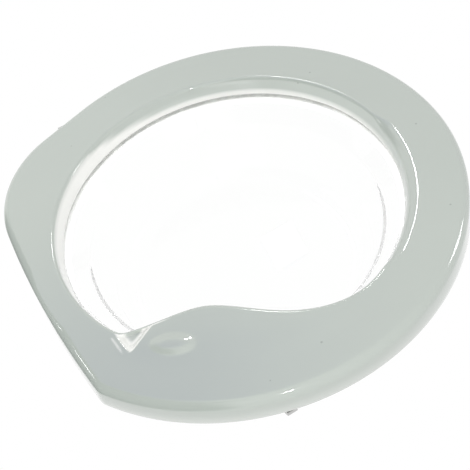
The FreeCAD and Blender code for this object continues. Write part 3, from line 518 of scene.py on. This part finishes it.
@dataclass
class FrontFrame:
    """Moulded front ring with the grip lip: one closed shell, hollow behind."""

    plan: RingPlan = field(default_factory=RingPlan)
    wave: GripWave = field(default_factory=GripWave)
    nose_row: int = field(init=False, default=0)
    well_radius: float = 174.0
    rim_radius: float = 178.5
    crease_radius: float = 190.0
    face: float = -32.0
    rear: float = -8.0
    seat: float = -13.0
    bevel_drop: float = 3.0
    shoulder: float = 7.0
    near_shoulder: float = 8.5
    # Painted light on the outer wall: how much it whitens, over what run, and where it starts
    # outside the crease.
    wall_painted_light: float = 0.35
    wall_painted_light_run: float = 18.0
    wall_painted_light_edge: Pair = (12.0, 6.0)
    crease: float = 32.0
    edge_round: float = 0.4
    face_split: float = 14.0
    back_gap: float = 0.02
    hollow_inset: float = 8.0
    hollow_root: float = 1.5
    swell_root: float = 10.0
    swell_power: float = 1.5
    shape_foot: float = 1.0
    shape_rise: float = 1.6
    near_draft: float = 1.5
    near_span: Pair = (math.radians(-112.0), math.radians(42.0))
    near_fade: float = math.radians(38.0)
    wall: float = 3.0
    flange_radius: float = 187.0
    seat_thickness: float = 2.0
    lip_back: float = -20.0
    pocket_front: float = -21.5
    rim_round: float = 14.0
    far_round: float = 4.0
    far_span: Pair = (math.radians(32.0), math.radians(84.0))
    far_fade: float = 0.15
    nose_round: float = 5.6
    nose_rows: int = 2
    nose_corner: int = 3
    crease_edge: float = 4.0
    lip_edge: Pair = (1.0, 2.0)
    # Painted light on the inner wall: the depth where it starts and how far it runs, by plan angle
    # in degrees.
    painted_light_turns: tuple[float, ...] = (
        -180.0, -165.0, -150.0, -66.0, -40.0, 36.0, 58.0, 80.0, 95.0, 180.0)
    painted_light_start: tuple[float, ...] = (
        -21.5, -25.0, -31.5, -31.5, -24.0, -16.0, -16.0, -18.0, -19.0, -21.5)
    painted_light_run: tuple[float, ...] = (6.0, 6.0, 4.0, 4.0, 6.0, 2.0, 2.0, 4.0, 5.0, 6.0)

    def profile(self) -> Array:
        """Closed profile of the ring at every column, from the foot over the face and back inside.

        Returns:
            Points as rows by columns by three.
        """
        plan, wave = self.plan, self.wave
        angle = plan.plan_angle(self.shoulder)
        edge = wave.edge(angle, self.rim_radius)
        blend = wave.blend(edge, self.rim_radius)
        near = self.near(angle)
        draft = self.near_draft * near
        slope = (self.rim_radius - self.well_radius) / (self.seat - self.face - self.bevel_drop)
        wall_radius = self.well_radius + slope * (self.seat - self.lip_back)
        roll_radius = self.well_radius + slope * (self.seat - self.face)
        top_radius = edge + (roll_radius - self.rim_radius) * (1 - blend)
        back_radius = np.minimum(wall_radius - self.back_gap, edge)
        foot = np.where(plan.pocket, self.pocket_front, self.rear)
        hollow = (angle >= wave.hollow_span[0]) & (angle <= wave.hollow_span[1])
        roof = np.where(hollow, self.face + self.wall, self.lip_back)
        third = (wall_radius - back_radius) / 3
        hollow_in = np.where(hollow, edge + self.hollow_inset, back_radius + third)
        hollow_out = np.where(hollow, self.well_radius - self.hollow_root, back_radius + 2 * third)
        before = smooth_step((self.far_span[0] - angle) / self.far_fade)
        past = smooth_step((angle - self.far_span[1]) / self.far_fade)
        roll = self.rim_round + (self.far_round - self.rim_round) * (before + past)
        nose = roll + (self.nose_round - roll) * blend
        shoulder = self.shoulder + (self.near_shoulder - self.shoulder) * near
        inner_face = self.face + self.wall
        inner_bevel = self.face + self.bevel_drop + self.wall
        seat_front = self.seat - self.seat_thickness
        inner_edge = plan.outline(self.wall + draft, inner_face + draft)

        def ring(radius: Values, depth: Values) -> Array:
            """Points at a radius and a depth in every column."""
            return polar(radius, angle, depth)

        corners = [
            Corner(plan.outline(0.0, foot), self.edge_round, 3, 3),
            Corner(plan.outline(draft, self.face), shoulder, 16, 7),
            Corner(ring(self.crease_radius + self.face_split, self.face), run=24),
            Corner(ring(top_radius, self.face), nose, 18),
            Corner(ring(back_radius, self.lip_back), self.nose_round * blend, 8),
            Corner(ring(hollow_in, self.lip_back), run=0),
            Corner(ring(hollow_in, roof), run=0),
            Corner(ring(hollow_out, roof), run=0),
            Corner(ring(hollow_out, self.lip_back)),
            Corner(ring(wall_radius, self.lip_back)),
            Corner(ring(self.well_radius, self.seat), self.edge_round, 3),
            Corner(ring(self.flange_radius, self.seat), run=0),
            Corner(ring(self.flange_radius, seat_front)),
            Corner(ring(self.well_radius + self.wall, seat_front)),
            Corner(ring(self.rim_radius + self.wall, inner_bevel)),
            Corner(ring(self.crease_radius + self.wall, inner_face), run=3),
            Corner(inner_edge, shoulder - self.wall, 5, 2),
            Corner(plan.outline(self.wall, foot), self.edge_round, 3, 0),
        ]
        points = rounded_profile(corners)
        top = count_rows(corners[:self.nose_corner + 1])
        self.nose_row = count_rows(corners[:self.nose_corner]) + self.nose_rows
        points[:top] = self.shaped(points[:top], top_radius, blend)
        return points

    def near(self, angle: Array) -> Array:
        """Share of the wide shoulder: whole along the grip side, none along the far side."""
        low, high = self.near_span
        rise = smooth_step(1.0 - (low - angle) / self.near_fade)
        return rise * smooth_step(1.0 - (angle - high) / self.near_fade)

    def paint(self, points: Array) -> Array:
        """Share of the grey finish: whole on the face, thinning out down the inner and outer walls.

        Where it thins, a near white is painted light: it whitens the inner wall towards the glass
        and the outer wall towards its rear, and makes painted highlights and a painted shade line
        at the scoop and along the lip.

        Args:
            points: Points of the ring.

        Returns:
            1 where the grey finish shows and 0 where the painted light is whitest.
        """
        radius = np.hypot(points[..., 0], points[..., 2])
        turn = np.degrees(np.arctan2(points[..., 2], points[..., 0]))
        # Painted light: the inner wall fades from the grey to a near white towards the glass, from
        # a depth and over a run that change round the ring; the lip's edge keeps the grey.
        start = np.interp(turn, self.painted_light_turns, self.painted_light_start)
        run = np.interp(turn, self.painted_light_turns, self.painted_light_run)
        inside = smooth_step((self.crease_radius - self.crease_edge - radius) / self.crease_edge)
        lip = smooth_step((self.well_radius - self.lip_edge[0] - radius) / self.lip_edge[1])
        fade = smooth_step((points[..., 1] - start) / run)
        # Painted highlights at the scoop and along the lip's crest, on the upper rows only.
        glow = self.wave.glow(points, self.rim_radius)
        glow[self.nose_row:] = 0.0
        # Painted light: the outer wall whitens towards its rear edge.
        outside = smooth_step((radius - self.crease_radius - self.wall_painted_light_edge[0]) / self.wall_painted_light_edge[1])
        below = points[..., 1] - self.face - self.near_shoulder
        wall = self.wall_painted_light * outside * smooth_step(below / self.wall_painted_light_run)
        return (1.0 - fade * inside * (1.0 - lip)) * (1.0 - glow) * (1.0 - wall)

    def shaped(self, points: Array, edge: Array, blend: Array) -> Array:
        """Raise the lip's swell and thumb rest and press its scoop into the upper rows.

        The swell is a sine to the power of one and a half between the lip's root and its edge.

        Args:
            points: Upper rows of the profile.
            edge: Radius of the lip's edge.
            blend: Share of the lip in each column.

        Returns:
            The shaped rows.
        """
        radius = np.hypot(points[..., 0], points[..., 2])
        root = self.crease_radius + self.swell_root
        share = np.clip((root - radius) / (root - edge), 0.0, 1.0)
        lift = self.wave.swell * blend * np.sin(math.pi * share) ** self.swell_power
        foot = self.lip_back - self.shape_foot
        depth = np.clip((foot - points[..., 1]) / (foot - self.face), 0.0, 1.0)
        upper = smooth_step(self.shape_rise * depth)
        sunk = self.wave.pressed(points, edge) * upper
        moved = points.copy()
        moved[..., 1] += sunk - lift - self.wave.raised(points) * upper
        return moved

    def build(self) -> bpy.types.Object:
        """Make the ring's piece and let it stand for the solid one.

        Returns:
            The piece.
        """
        points = self.profile()
        surface = Surface(points, True, True, self.paint(points))
        piece = make_piece("front_frame_shell", surface, self.crease)
        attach(piece, Body.DOOR.value)
        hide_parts("front_frame")
        return piece


# Glass

@dataclass
class GlassBowl:
    """Pressed glass bowl: flat flange, slanting neck, tapering wall and a round-cornered floor."""

    flange_radius: float = 187.0
    flange_front: float = -12.0
    flange_rear: float = -6.5
    neck_radius: float = 172.0
    bend_radius: float = 152.0
    bend: float = 11.0
    floor_radius: float = 132.0
    floor: float = 75.0
    thickness: float = 5.0
    neck_round: float = 6.0
    floor_round: float = 22.0
    root_round: float = 0.8
    edge_round: float = 1.0
    rear_round: float = 1.5
    columns: int = 256
    run_points: int = 3
    inner_corners: int = 6
    crease: float = 50.0
    frost_run: float = 1.0
    outer_share: float = 0.5
    outer_row: int = field(init=False, default=0)

    def profile(self) -> Array:
        """Section of the bowl as radius and depth, inside first and then back along the outside.

        Returns:
            Points with the radius along X and the depth along Y.
        """
        neck_slope = (self.neck_radius - self.bend_radius) / (self.bend - self.flange_front)
        wall_slope = (self.bend_radius - self.floor_radius) / (self.floor - self.bend)
        neck_out = self.thickness * math.hypot(1.0, neck_slope)
        wall_out = self.thickness * math.hypot(1.0, wall_slope)
        outer_bend = self.bend + (neck_out - wall_out) / (neck_slope - wall_slope)
        outer_neck = self.neck_radius + neck_out
        outer_bend_radius = outer_neck - (outer_bend - self.flange_front) * neck_slope
        outer_floor = self.floor + self.thickness
        outer_floor_radius = outer_bend_radius - (outer_floor - outer_bend) * wall_slope
        neck_rear = outer_neck - (self.flange_rear - self.flange_front) * neck_slope
        places = [
            (0.0, self.floor, 0.0, 1),
            (self.floor_radius, self.floor, self.floor_round, 14),
            (self.bend_radius, self.bend, self.neck_round, 8),
            (self.neck_radius, self.flange_front, self.root_round, 4),
            (self.flange_radius, self.flange_front, self.edge_round, 4),
            (self.flange_radius, self.flange_rear, self.edge_round, 4),
            (neck_rear, self.flange_rear, self.rear_round, 4),
            (outer_bend_radius, outer_bend, self.neck_round, 8),
            (outer_floor_radius, outer_floor, self.floor_round + self.thickness, 14),
            (0.0, outer_floor, 0.0, 1),
        ]
        corners = [
            Corner(np.array([[radius, depth, 0.0]]), rounding, arc, self.run_points)
            for radius, depth, rounding, arc in places]
        corners[-1].run = 0
        self.outer_row = count_rows(corners[:self.inner_corners])
        return rounded_profile(corners)[:, 0]

    def build(self) -> bpy.types.Object:
        """Turn the section about the ring's axis and let it stand for the solid bowl.

        Returns:
            The piece.
        """
        section = self.profile()[:, None, :]
        turn = np.linspace(0.0, 2 * math.pi, self.columns, endpoint=False)[None, :]
        points = polar(section[..., 0], turn, section[..., 1])
        # Clearness: 1 on the inner side and a share on the outer, falling to 0 on the flange, which
        # the finish frosts and gives a painted glow.
        inside = np.arange(len(points)) < self.outer_row
        side = np.where(inside, 1.0, self.outer_share)[:, None]
        past = np.hypot(points[..., 0], points[..., 2]) - self.neck_radius
        clear = side * (1.0 - smooth_step(past / self.frost_run))
        piece = make_piece("glass_bowl_shell", Surface(points, False, True, clear), self.crease)
        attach(piece, Body.DOOR.value)
        piece.visible_shadow = False
        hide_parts("glass_bowl")
        return piece


# Finishes

@dataclass
class NodeTree:
    """Short hand for wiring a material's or the world's nodes."""

    tree: bpy.types.NodeTree

    def first(self, kind: str) -> bpy.types.Node:
        """The first node of a type, such as the shader that a new material starts with."""
        return next(node for node in self.tree.nodes if node.type == kind)

    def fill(self, node: bpy.types.Node, inputs: Inputs) -> bpy.types.Node:
        """Set inputs of a node to constants or link them to what other nodes give.

        Args:
            node: Node to set.
            inputs: Constant or socket for each input, by its name or number.

        Returns:
            The node.
        """
        for name, value in inputs.items():
            if isinstance(value, Socket):
                self.tree.links.new(value, node.inputs[name])
            else:
                node.inputs[name].default_value = value
        return node

    def add(self, kind: str, inputs: Inputs, **settings: str) -> bpy.types.Node:
        """New node of a kind.

        Args:
            kind: Blender's name of the node.
            inputs: Constant or socket for each input, by its name or number.
            settings: Properties to set on it first.

        Returns:
            The node.
        """
        node = self.tree.nodes.new(kind)
        for name, value in settings.items():
            setattr(node, name, value)
        return self.fill(node, inputs)

    def place(self) -> Socket:
        """The object's own coordinates."""
        return self.add("ShaderNodeTexCoord", {}).outputs["Object"]

    def paint(self) -> Socket:
        """Share that the mesh holds at its points as paint."""
        return self.add("ShaderNodeAttribute", {}, attribute_name="paint").outputs["Fac"]

    def noise(self, place: Socket, scale: float, detail: float) -> Socket:
        """Noise from 0 to 1 at a place, by its waves in a metre and its finer layers."""
        inputs = {"Vector": place, "Scale": scale, "Detail": detail}
        return self.add("ShaderNodeTexNoise", inputs).outputs["Fac"]

    def ramp(self, value: Socket, colours: tuple[Colour, Colour]) -> Socket:
        """Colour that goes from one to another as a value crosses the usual span of noise.

        Args:
            value: Noise.
            colours: Colours at the two ends of the span.

        Returns:
            The colour.
        """
        node = self.add("ShaderNodeValToRGB", {"Fac": value})
        for element, position, colour in zip(node.color_ramp.elements, NOISE_SPAN, colours):
            element.position = position
            element.color = colour
        return node.outputs["Color"]

    def scale(
        self, value: Socket, start: Pair, end: Pair = (0.0, 1.0), way: str = "LINEAR"
    ) -> Socket:
        """Value carried over from one range to another and held at its ends.

        Args:
            value: Socket that gives the value.
            start: Lowest and highest value of the first range.
            end: What they become.
            way: Blender's name for the way between them.

        Returns:
            The socket of the result.
        """
        names = ("Value", "From Min", "From Max", "To Min", "To Max")
        inputs = dict(zip(names, (value, *start, *end)))
        return self.add("ShaderNodeMapRange", inputs, interpolation_type=way).outputs["Result"]

    def mix(self, share: Socket, first: Colour, second: Socket) -> Socket:
        """Colour that is the first where a share is 0 and the second where it is 1."""
        inputs = {MIX_SHARE: share, MIX_FIRST: first, MIX_SECOND: second}
        return self.add("ShaderNodeMix", inputs, data_type="RGBA").outputs[MIX_RESULT]

    def bump(self, height: Socket, strength: float, depth: float) -> Socket:
        """Normal of the surface, turned by a height in shares of a depth in metres."""
        inputs = {"Height": height, "Strength": strength, "Distance": depth}
        return self.add("ShaderNodeBump", inputs).outputs["Normal"]

    def glow(self, colour: Colour) -> Socket:
        """Plain glow of a colour."""
        return self.add("ShaderNodeEmission", {"Color": colour}).outputs["Emission"]

    def in_sight(self) -> Socket:
        """Tell the rays that show a thing from those that only light others.

        Returns:
            1 for rays of the camera, in gloss and through glass, and 0 for the rest.
        """
        path = self.add("ShaderNodeLightPath", {})
        seen = path.outputs["Is Camera Ray"]
        for name in ("Is Transmission Ray", "Is Glossy Ray"):
            inputs = {0: seen, 1: path.outputs[name]}
            seen = self.add("ShaderNodeMath", inputs, operation="MAXIMUM").outputs[0]
        return seen

    def show(self, share: Socket, first: Socket, second: Socket) -> None:
        """Give the surface one shader where a share is 0 and another where it is 1."""
        mixed = self.add("ShaderNodeMixShader", {0: share, 1: first, 2: second})
        self.fill(self.first("OUTPUT_MATERIAL"), {"Surface": mixed.outputs["Shader"]})


def new_material(name: str) -> tuple[bpy.types.Material, NodeTree]:
    """New material with its nodes.

    Args:
        name: Name of the material.

    Returns:
        The material and the short hand for its nodes.
    """
    material = bpy.data.materials.new(name)
    material.use_nodes = True
    return material, NodeTree(material.node_tree)


@dataclass(frozen=True)
class MouldedFinish:
    """Moulded plastic or cast metal: faint mottling, a fine skin and small specks."""

    name: str
    colour: Triple
    roughness: float
    coat: float = 0.0
    metallic: float = 0.0
    mottle: float = 0.03
    mottle_scale: float = 9.0
    rough_scale: float = 6.0
    rough_spread: float = 0.2
    grain_scale: float = 900.0
    grain: float = 0.02
    grain_depth: float = 0.0004
    speck: float = 0.0
    speck_scale: float = 34.0
    speck_edge: Pair = (0.035, 0.05)
    coat_roughness: float = 0.03
    coat_ior: float = 1.5
    # Near white that stands in for light where the mesh's paint share falls: painted light and
    # painted highlights.
    under: Triple | None = None

    def build(self) -> bpy.types.Material:
        """Colour from slow noise, roughness from finer noise and a bump from the finest.

        Returns:
            The material.
        """
        material, tree = new_material(self.name)
        place = tree.place()
        slow = tree.noise(place, self.mottle_scale, detail=3.0)
        colour = tree.ramp(slow, (self.shade(1 - self.mottle), self.shade(1 + self.mottle)))
        if self.speck:
            inputs = {"Vector": place, "Scale": self.speck_scale}
            dots = tree.add("ShaderNodeTexVoronoi", inputs, feature="F1").outputs["Distance"]
            away = tree.scale(dots, self.speck_edge, way="SMOOTHSTEP")
            colour = tree.mix(away, self.shade(1 - self.speck), colour)
        # Painted light: where the paint share falls, the colour goes to the near white.
        if self.under:
            colour = tree.mix(tree.paint(), (*self.under, 1.0), colour)
        middle = tree.noise(place, self.mottle_scale * self.rough_scale, detail=4.0)
        low, high = (self.roughness * (1 + way * self.rough_spread) for way in (-1, 1))
        fine = tree.noise(place, self.grain_scale, detail=2.0)
        tree.fill(tree.first("BSDF_PRINCIPLED"), {
            "Base Color": colour,
            "Roughness": tree.scale(middle, NOISE_SPAN, (low, high)),
            "Metallic": self.metallic,
            "Coat Weight": self.coat,
            "Coat Roughness": self.coat_roughness,
            "Coat IOR": self.coat_ior,
            "Normal": tree.bump(fine, self.grain, self.grain_depth),
        })
        return material

    def shade(self, factor: float) -> Colour:
        """Base colour made lighter or darker by a factor."""
        return tuple(min(1.0, channel * factor) for channel in self.colour) + (1.0,)


@dataclass(frozen=True)
class GlassFinish:
    """Clear, slightly wavy glass, with a frosted flange that carries a painted glow, an emission
    that stands in for light.
    """

    name: str
    colour: Triple
    ior: float = 1.2
    ripple: float = 0.012
    ripple_scale: float = 22.0
    ripple_depth: float = 0.002
    haze: float = 0.02
    haze_scale: float = 14.0
    frost_edge: Pair = (0.1, 0.4)
    # Painted glow of the frosted flange: its strength and colour.
    painted_edge_glow: float = 0.25
    painted_glow_colour: Triple = (1.0, 1.0, 0.98)
    outer_span: Pair = (0.5, 1.0)
    outer_cover: float = 0.5

    def build(self) -> bpy.types.Material:
        """Clear transmission with a slow ripple in the surface and a faint haze that varies.

        Returns:
            The material.
        """
        material, tree = new_material(self.name)
        place = tree.place()
        clear = tree.paint()
        haze = tree.noise(place, self.haze_scale, detail=3.0)
        waves = tree.noise(place, self.ripple_scale, detail=1.0)
        unfrosted = (0.0, self.frost_edge[1])
        tree.fill(tree.first("BSDF_PRINCIPLED"), {
            "Base Color": (*self.colour, 1.0),
            "IOR": self.ior,
            "Roughness": tree.scale(haze, NOISE_SPAN, (0.0, self.haze)),
            "Transmission Weight": tree.scale(clear, self.frost_edge, way="SMOOTHSTEP"),
            "Alpha": tree.scale(clear, self.outer_span, (self.outer_cover, 1.0)),
            # Painted glow: the frosted flange emits, standing in for light.
            "Emission Color": (*self.painted_glow_colour, 1.0),
            "Emission Strength": tree.scale(clear, unfrosted, (self.painted_edge_glow, 0.0)),
            "Normal": tree.bump(waves, self.ripple, self.ripple_depth),
        })
        return material


@dataclass
class Finishes:
    """Every finish of the door and the solids that take it as they are."""

    # The frame's near white is painted light and painted highlights, shown where its paint share
    # falls.
    frame_gloss: MouldedFinish = MouldedFinish(
        "frame_gloss", (0.50, 0.547, 0.505), 0.10, coat=1.0, mottle=0.012, grain=0.01, speck=0.25,
        coat_ior=1.65, under=(0.96, 0.965, 0.93))
    inner_satin: MouldedFinish = MouldedFinish("inner_satin", (0.74, 0.75, 0.73), 0.42, grain=0.05)
    rubber: MouldedFinish = MouldedFinish(
        "buffer_rubber", (0.16, 0.165, 0.17), 0.7, mottle=0.1, grain=0.1)
    seal: MouldedFinish = MouldedFinish("pale_seal", (0.80, 0.81, 0.79), 0.6, grain=0.05)
    cast_metal: MouldedFinish = MouldedFinish(
        "cast_metal", (0.58, 0.58, 0.57), 0.38, metallic=1.0, mottle=0.06, mottle_scale=60.0,
        grain=0.15)
    steel: MouldedFinish = MouldedFinish(
        "plated_steel", (0.66, 0.66, 0.64), 0.22, metallic=1.0, mottle=0.05, mottle_scale=90.0,
        grain=0.03)
    bush: MouldedFinish = MouldedFinish("bush_plastic", (0.72, 0.72, 0.68), 0.35, grain=0.03)
    glass: GlassFinish = GlassFinish("clear_glass", (0.995, 1.0, 0.995))

    def nodes(self) -> tuple[tuple[MouldedFinish, tuple[str, ...]], ...]:
        """Finishes, each with the names of the solids that keep their own mesh."""
        return (
            (self.inner_satin, ("rear_frame", "grip_liner", "latch_carrier")),
            (self.rubber, ("stop_buffers",)),
            (self.seal, ("glass_gasket",)),
            (self.cast_metal, ("hinge_bracket", "hinge_arm", "latch_hook")),
            (self.steel, (
                "frame_screws", "hinge_arm_screws", "hinge_backing_plate", "hinge_pin",
                "hinge_pin_clip", "latch_pin", "latch_spring", "latch_screws")),
            (self.bush, ("hinge_bush_upper", "hinge_bush_lower")),
        )


def dress(piece: bpy.types.Object, material: bpy.types.Material) -> None:
    """Give an object one material in place of what it has."""
    piece.data.materials.clear()
    piece.data.materials.append(material)


# Studio

@dataclass(frozen=True)
class Lamp:
    """Square lamp that faces the ring's centre from a way and a distance, in metres."""

    name: str
    way: Triple
    distance: float
    size: float
    radiance: float
    in_gloss: bool = True

    def build(self) -> bpy.types.Object:
        """Power is the radiance times pi times the area.

        Returns:
            The lamp.
        """
        data = bpy.data.lights.new(self.name, "AREA")
        data.shape = "SQUARE"
        data.size = self.size
        data.energy = self.radiance * math.pi * self.size ** 2
        lamp = bpy.data.objects.new(self.name, data)
        way = Vector(self.way).normalized()
        lamp.location = Vector((RING_CENTRE * MILLIMETRE).tolist()) + way * self.distance
        lamp.rotation_euler = (-way).to_track_quat("-Z", "Y").to_euler()
        lamp.visible_camera = False
        lamp.visible_glossy = self.in_gloss
        bpy.context.scene.collection.objects.link(lamp)
        return lamp


@dataclass(frozen=True)
class GlossCard:
    """Card that only gloss shows: a strip or an oval of a tint that thins out towards its ends."""

    name: str
    middle: Triple
    across: Triple
    away: Triple
    tint: Triple
    oval: bool = False
    points_across: int = 61
    side_fade: float = 0.35
    near_fade: float = 0.12
    far_start: float = 0.1
    far_run: float = 0.8

    def build(self) -> bpy.types.Object:
        """Grid from the middle by shares of the two half sides, with its clearness as paint.

        Returns:
            The card.
        """
        line = np.linspace(-1.0, 1.0, self.points_across)
        side, out = np.meshgrid(line, line)
        middle = RING_CENTRE * MILLIMETRE + np.array(self.middle)
        beside = middle + side[..., None] * np.array(self.across)
        clear = smooth_step(np.hypot(side, out)) if self.oval else np.maximum.reduce([
            smooth_step((out - self.far_start) / self.far_run),
            1.0 - smooth_step((1.0 - np.abs(side)) / self.side_fade),
            1.0 - smooth_step((1.0 + out) / self.near_fade),
        ])
        points = beside + out[..., None] * np.array(self.away)
        card = Surface(points, paint=clear).build(self.name)
        for rays in ("camera", "diffuse", "transmission", "shadow"):
            setattr(card, f"visible_{rays}", False)
        dress(card, self.finish())
        return card

    def finish(self) -> bpy.types.Material:
        """Plain glow of the tint that thins out to nothing by the card's paint.

        Returns:
            The material.
        """
        material, tree = new_material(self.name)
        nothing = tree.add("ShaderNodeBsdfTransparent", {}).outputs["BSDF"]
        tree.show(tree.paint(), tree.glow((*self.tint, 1.0)), nothing)
        return material


@dataclass
class Studio:
    """White surroundings, a floor that shows only as white, dark cards for gloss and soft lamps."""

    floor_height: float = -1.9
    floor_size: float = 8.0
    floor_points: int = 9
    floor_colour: Colour = (0.92, 0.92, 0.92, 1.0)
    floor_roughness: float = 0.9
    ambient: float = 0.555
    cards: tuple[GlossCard, ...] = (
        GlossCard(
            "low_card", (-0.34, -1.03, -1.0), (1.755, -0.472, 0.0), (-0.42, -1.58, 0.0),
            (0.0, 0.005, 0.02)),
        GlossCard(
            "edge_card", (-0.42, -1.43, -0.60), (0.95, -0.66, 0.0), (0.02, 0.03, 0.42),
            (0.0, 0.005, 0.02)),
        GlossCard(
            "lip_card", (-0.69, -1.38, -0.20), (0.50, -0.347, 0.0), (0.054, 0.073, 0.90),
            (0.14, 0.10, 0.42), oval=True),
    )
    lamps: tuple[Lamp, ...] = (
        Lamp("back_lamp", (-0.62, -0.74, 0.28), 1.25, 0.08, 24.0),
        Lamp("right_lamp", (0.20, -0.52, 0.83), 1.3, 0.26, 9.0),
        Lamp("left_lamp", (-0.45, -0.55, -0.70), 1.3, 0.10, 8.0),
        Lamp("flash_lamp", (0.66, -0.73, -0.17), 0.8, 0.03, 120.0),
        Lamp("key_lamp", (0.77, -0.62, -0.10), 1.5, 0.9, 2.2, in_gloss=False),
        Lamp("fill_lamp", (-0.62, -0.55, -0.55), 1.1, 0.7, 2.2, in_gloss=False),
        Lamp("table_lamp", (0.78, -0.22, -0.58), 1.5, 1.2, 0.9, in_gloss=False),
    )

    def world(self) -> None:
        """White to the camera, to gloss and through glass; plain grey light for the rest."""
        world = bpy.data.worlds.new("studio_white")
        bpy.context.scene.world = world
        world.use_nodes = True
        tree = NodeTree(world.node_tree)
        strength = tree.scale(tree.in_sight(), (0.0, 1.0), (self.ambient, 1.0))
        tree.fill(tree.first("BACKGROUND"), {"Color": WHITE, "Strength": strength})

    def floor(self) -> bpy.types.Object:
        """Wide plane under the door that takes its shadow.

        Returns:
            The floor.
        """
        half = self.floor_size / 2
        line = np.linspace(-half, half, self.floor_points)
        x, y = np.meshgrid(line, line)
        points = np.stack([x, y, np.full_like(x, self.floor_height)], axis=-1)
        floor = Surface(points).build("studio_floor")
        dress(floor, self.floor_finish())
        return floor

    def floor_finish(self) -> bpy.types.Material:
        """White to camera, gloss and glass; a matt pale surface otherwise.

        Returns:
            The material.
        """
        material, tree = new_material("studio_floor")
        looks = {"Base Color": self.floor_colour, "Roughness": self.floor_roughness}
        shader = tree.fill(tree.first("BSDF_PRINCIPLED"), looks)
        tree.show(tree.in_sight(), shader.outputs["BSDF"], tree.glow(WHITE))
        return material

    def build(self) -> None:
        """World, floor, lamps and cards."""
        self.world()
        self.floor()
        for part in (*self.lamps, *self.cards):
            part.build()


@dataclass
class PhotoCamera:
    """Camera at the photograph's place, solved from the ring's circles in it."""

    tilt: float = -0.696472801
    pan: float = -0.183187349
    shift: Triple = (-7.84614767, 33.6478924, -998.794707)
    door_turn: float = math.radians(60.5)
    plane_depth: float = -29.8
    lens: float = 76.596
    sensor: float = 36.0
    clip: Pair = (0.01, 100.0)

    def build(self) -> bpy.types.Object:
        """Turn the solved pose from the door's own axes into the row frame.

        Returns:
            The camera, set as the scene's.
        """
        cos_t, sin_t = math.cos(self.tilt), math.sin(self.tilt)
        cos_p, sin_p = math.cos(self.pan), math.sin(self.pan)
        about_x = np.array([[1, 0, 0], [0, cos_t, -sin_t], [0, sin_t, cos_t]])
        about_y = np.array([[cos_p, 0, sin_p], [0, 1, 0], [-sin_p, 0, cos_p]])
        turn = about_x @ about_y
        cos_d, sin_d = math.cos(self.door_turn), math.sin(self.door_turn)
        axes = np.array([[cos_d, -sin_d, 0.0], [0.0, 0.0, -1.0], [sin_d, cos_d, 0.0]])
        rotation = axes @ turn.T
        plane = RING_CENTRE + np.array([0.0, self.plane_depth, 0.0])
        place = plane - rotation @ np.array(self.shift)
        data = bpy.data.cameras.new("photo_camera")
        data.lens, data.sensor_width = self.lens, self.sensor
        data.clip_start, data.clip_end = self.clip
        camera = bpy.data.objects.new("photo_camera", data)
        pose = Matrix(rotation.tolist()).to_4x4()
        pose.translation = Vector((place * MILLIMETRE).tolist())
        camera.matrix_world = pose
        bpy.context.scene.collection.objects.link(camera)
        bpy.context.scene.camera = camera
        return camera


def main() -> None:
    """Build the door's looks in order and report each piece."""
    logging.basicConfig(level=logging.INFO, format="%(name)s %(message)s")
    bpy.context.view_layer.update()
    bpy.context.scene.view_settings.view_transform = "Standard"
    camera = PhotoCamera().build()
    LOG.info("%s at %s", camera.name, [round(value, 3) for value in camera.location])
    Studio().build()
    finishes = Finishes()
    shells = ((FrontFrame(), finishes.frame_gloss), (GlassBowl(), finishes.glass))
    for shell, finish in shells:
        piece = shell.build()
        dress(piece, finish.build())
        LOG.info("%s: %d faces", piece.name, len(piece.data.polygons))
    for finish, names in finishes.nodes():
        material = finish.build()
        for name in names:
            dress(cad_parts[name], material)
            LOG.info("%s in %s", name, finish.name)


if __name__ == "__main__":
    main()
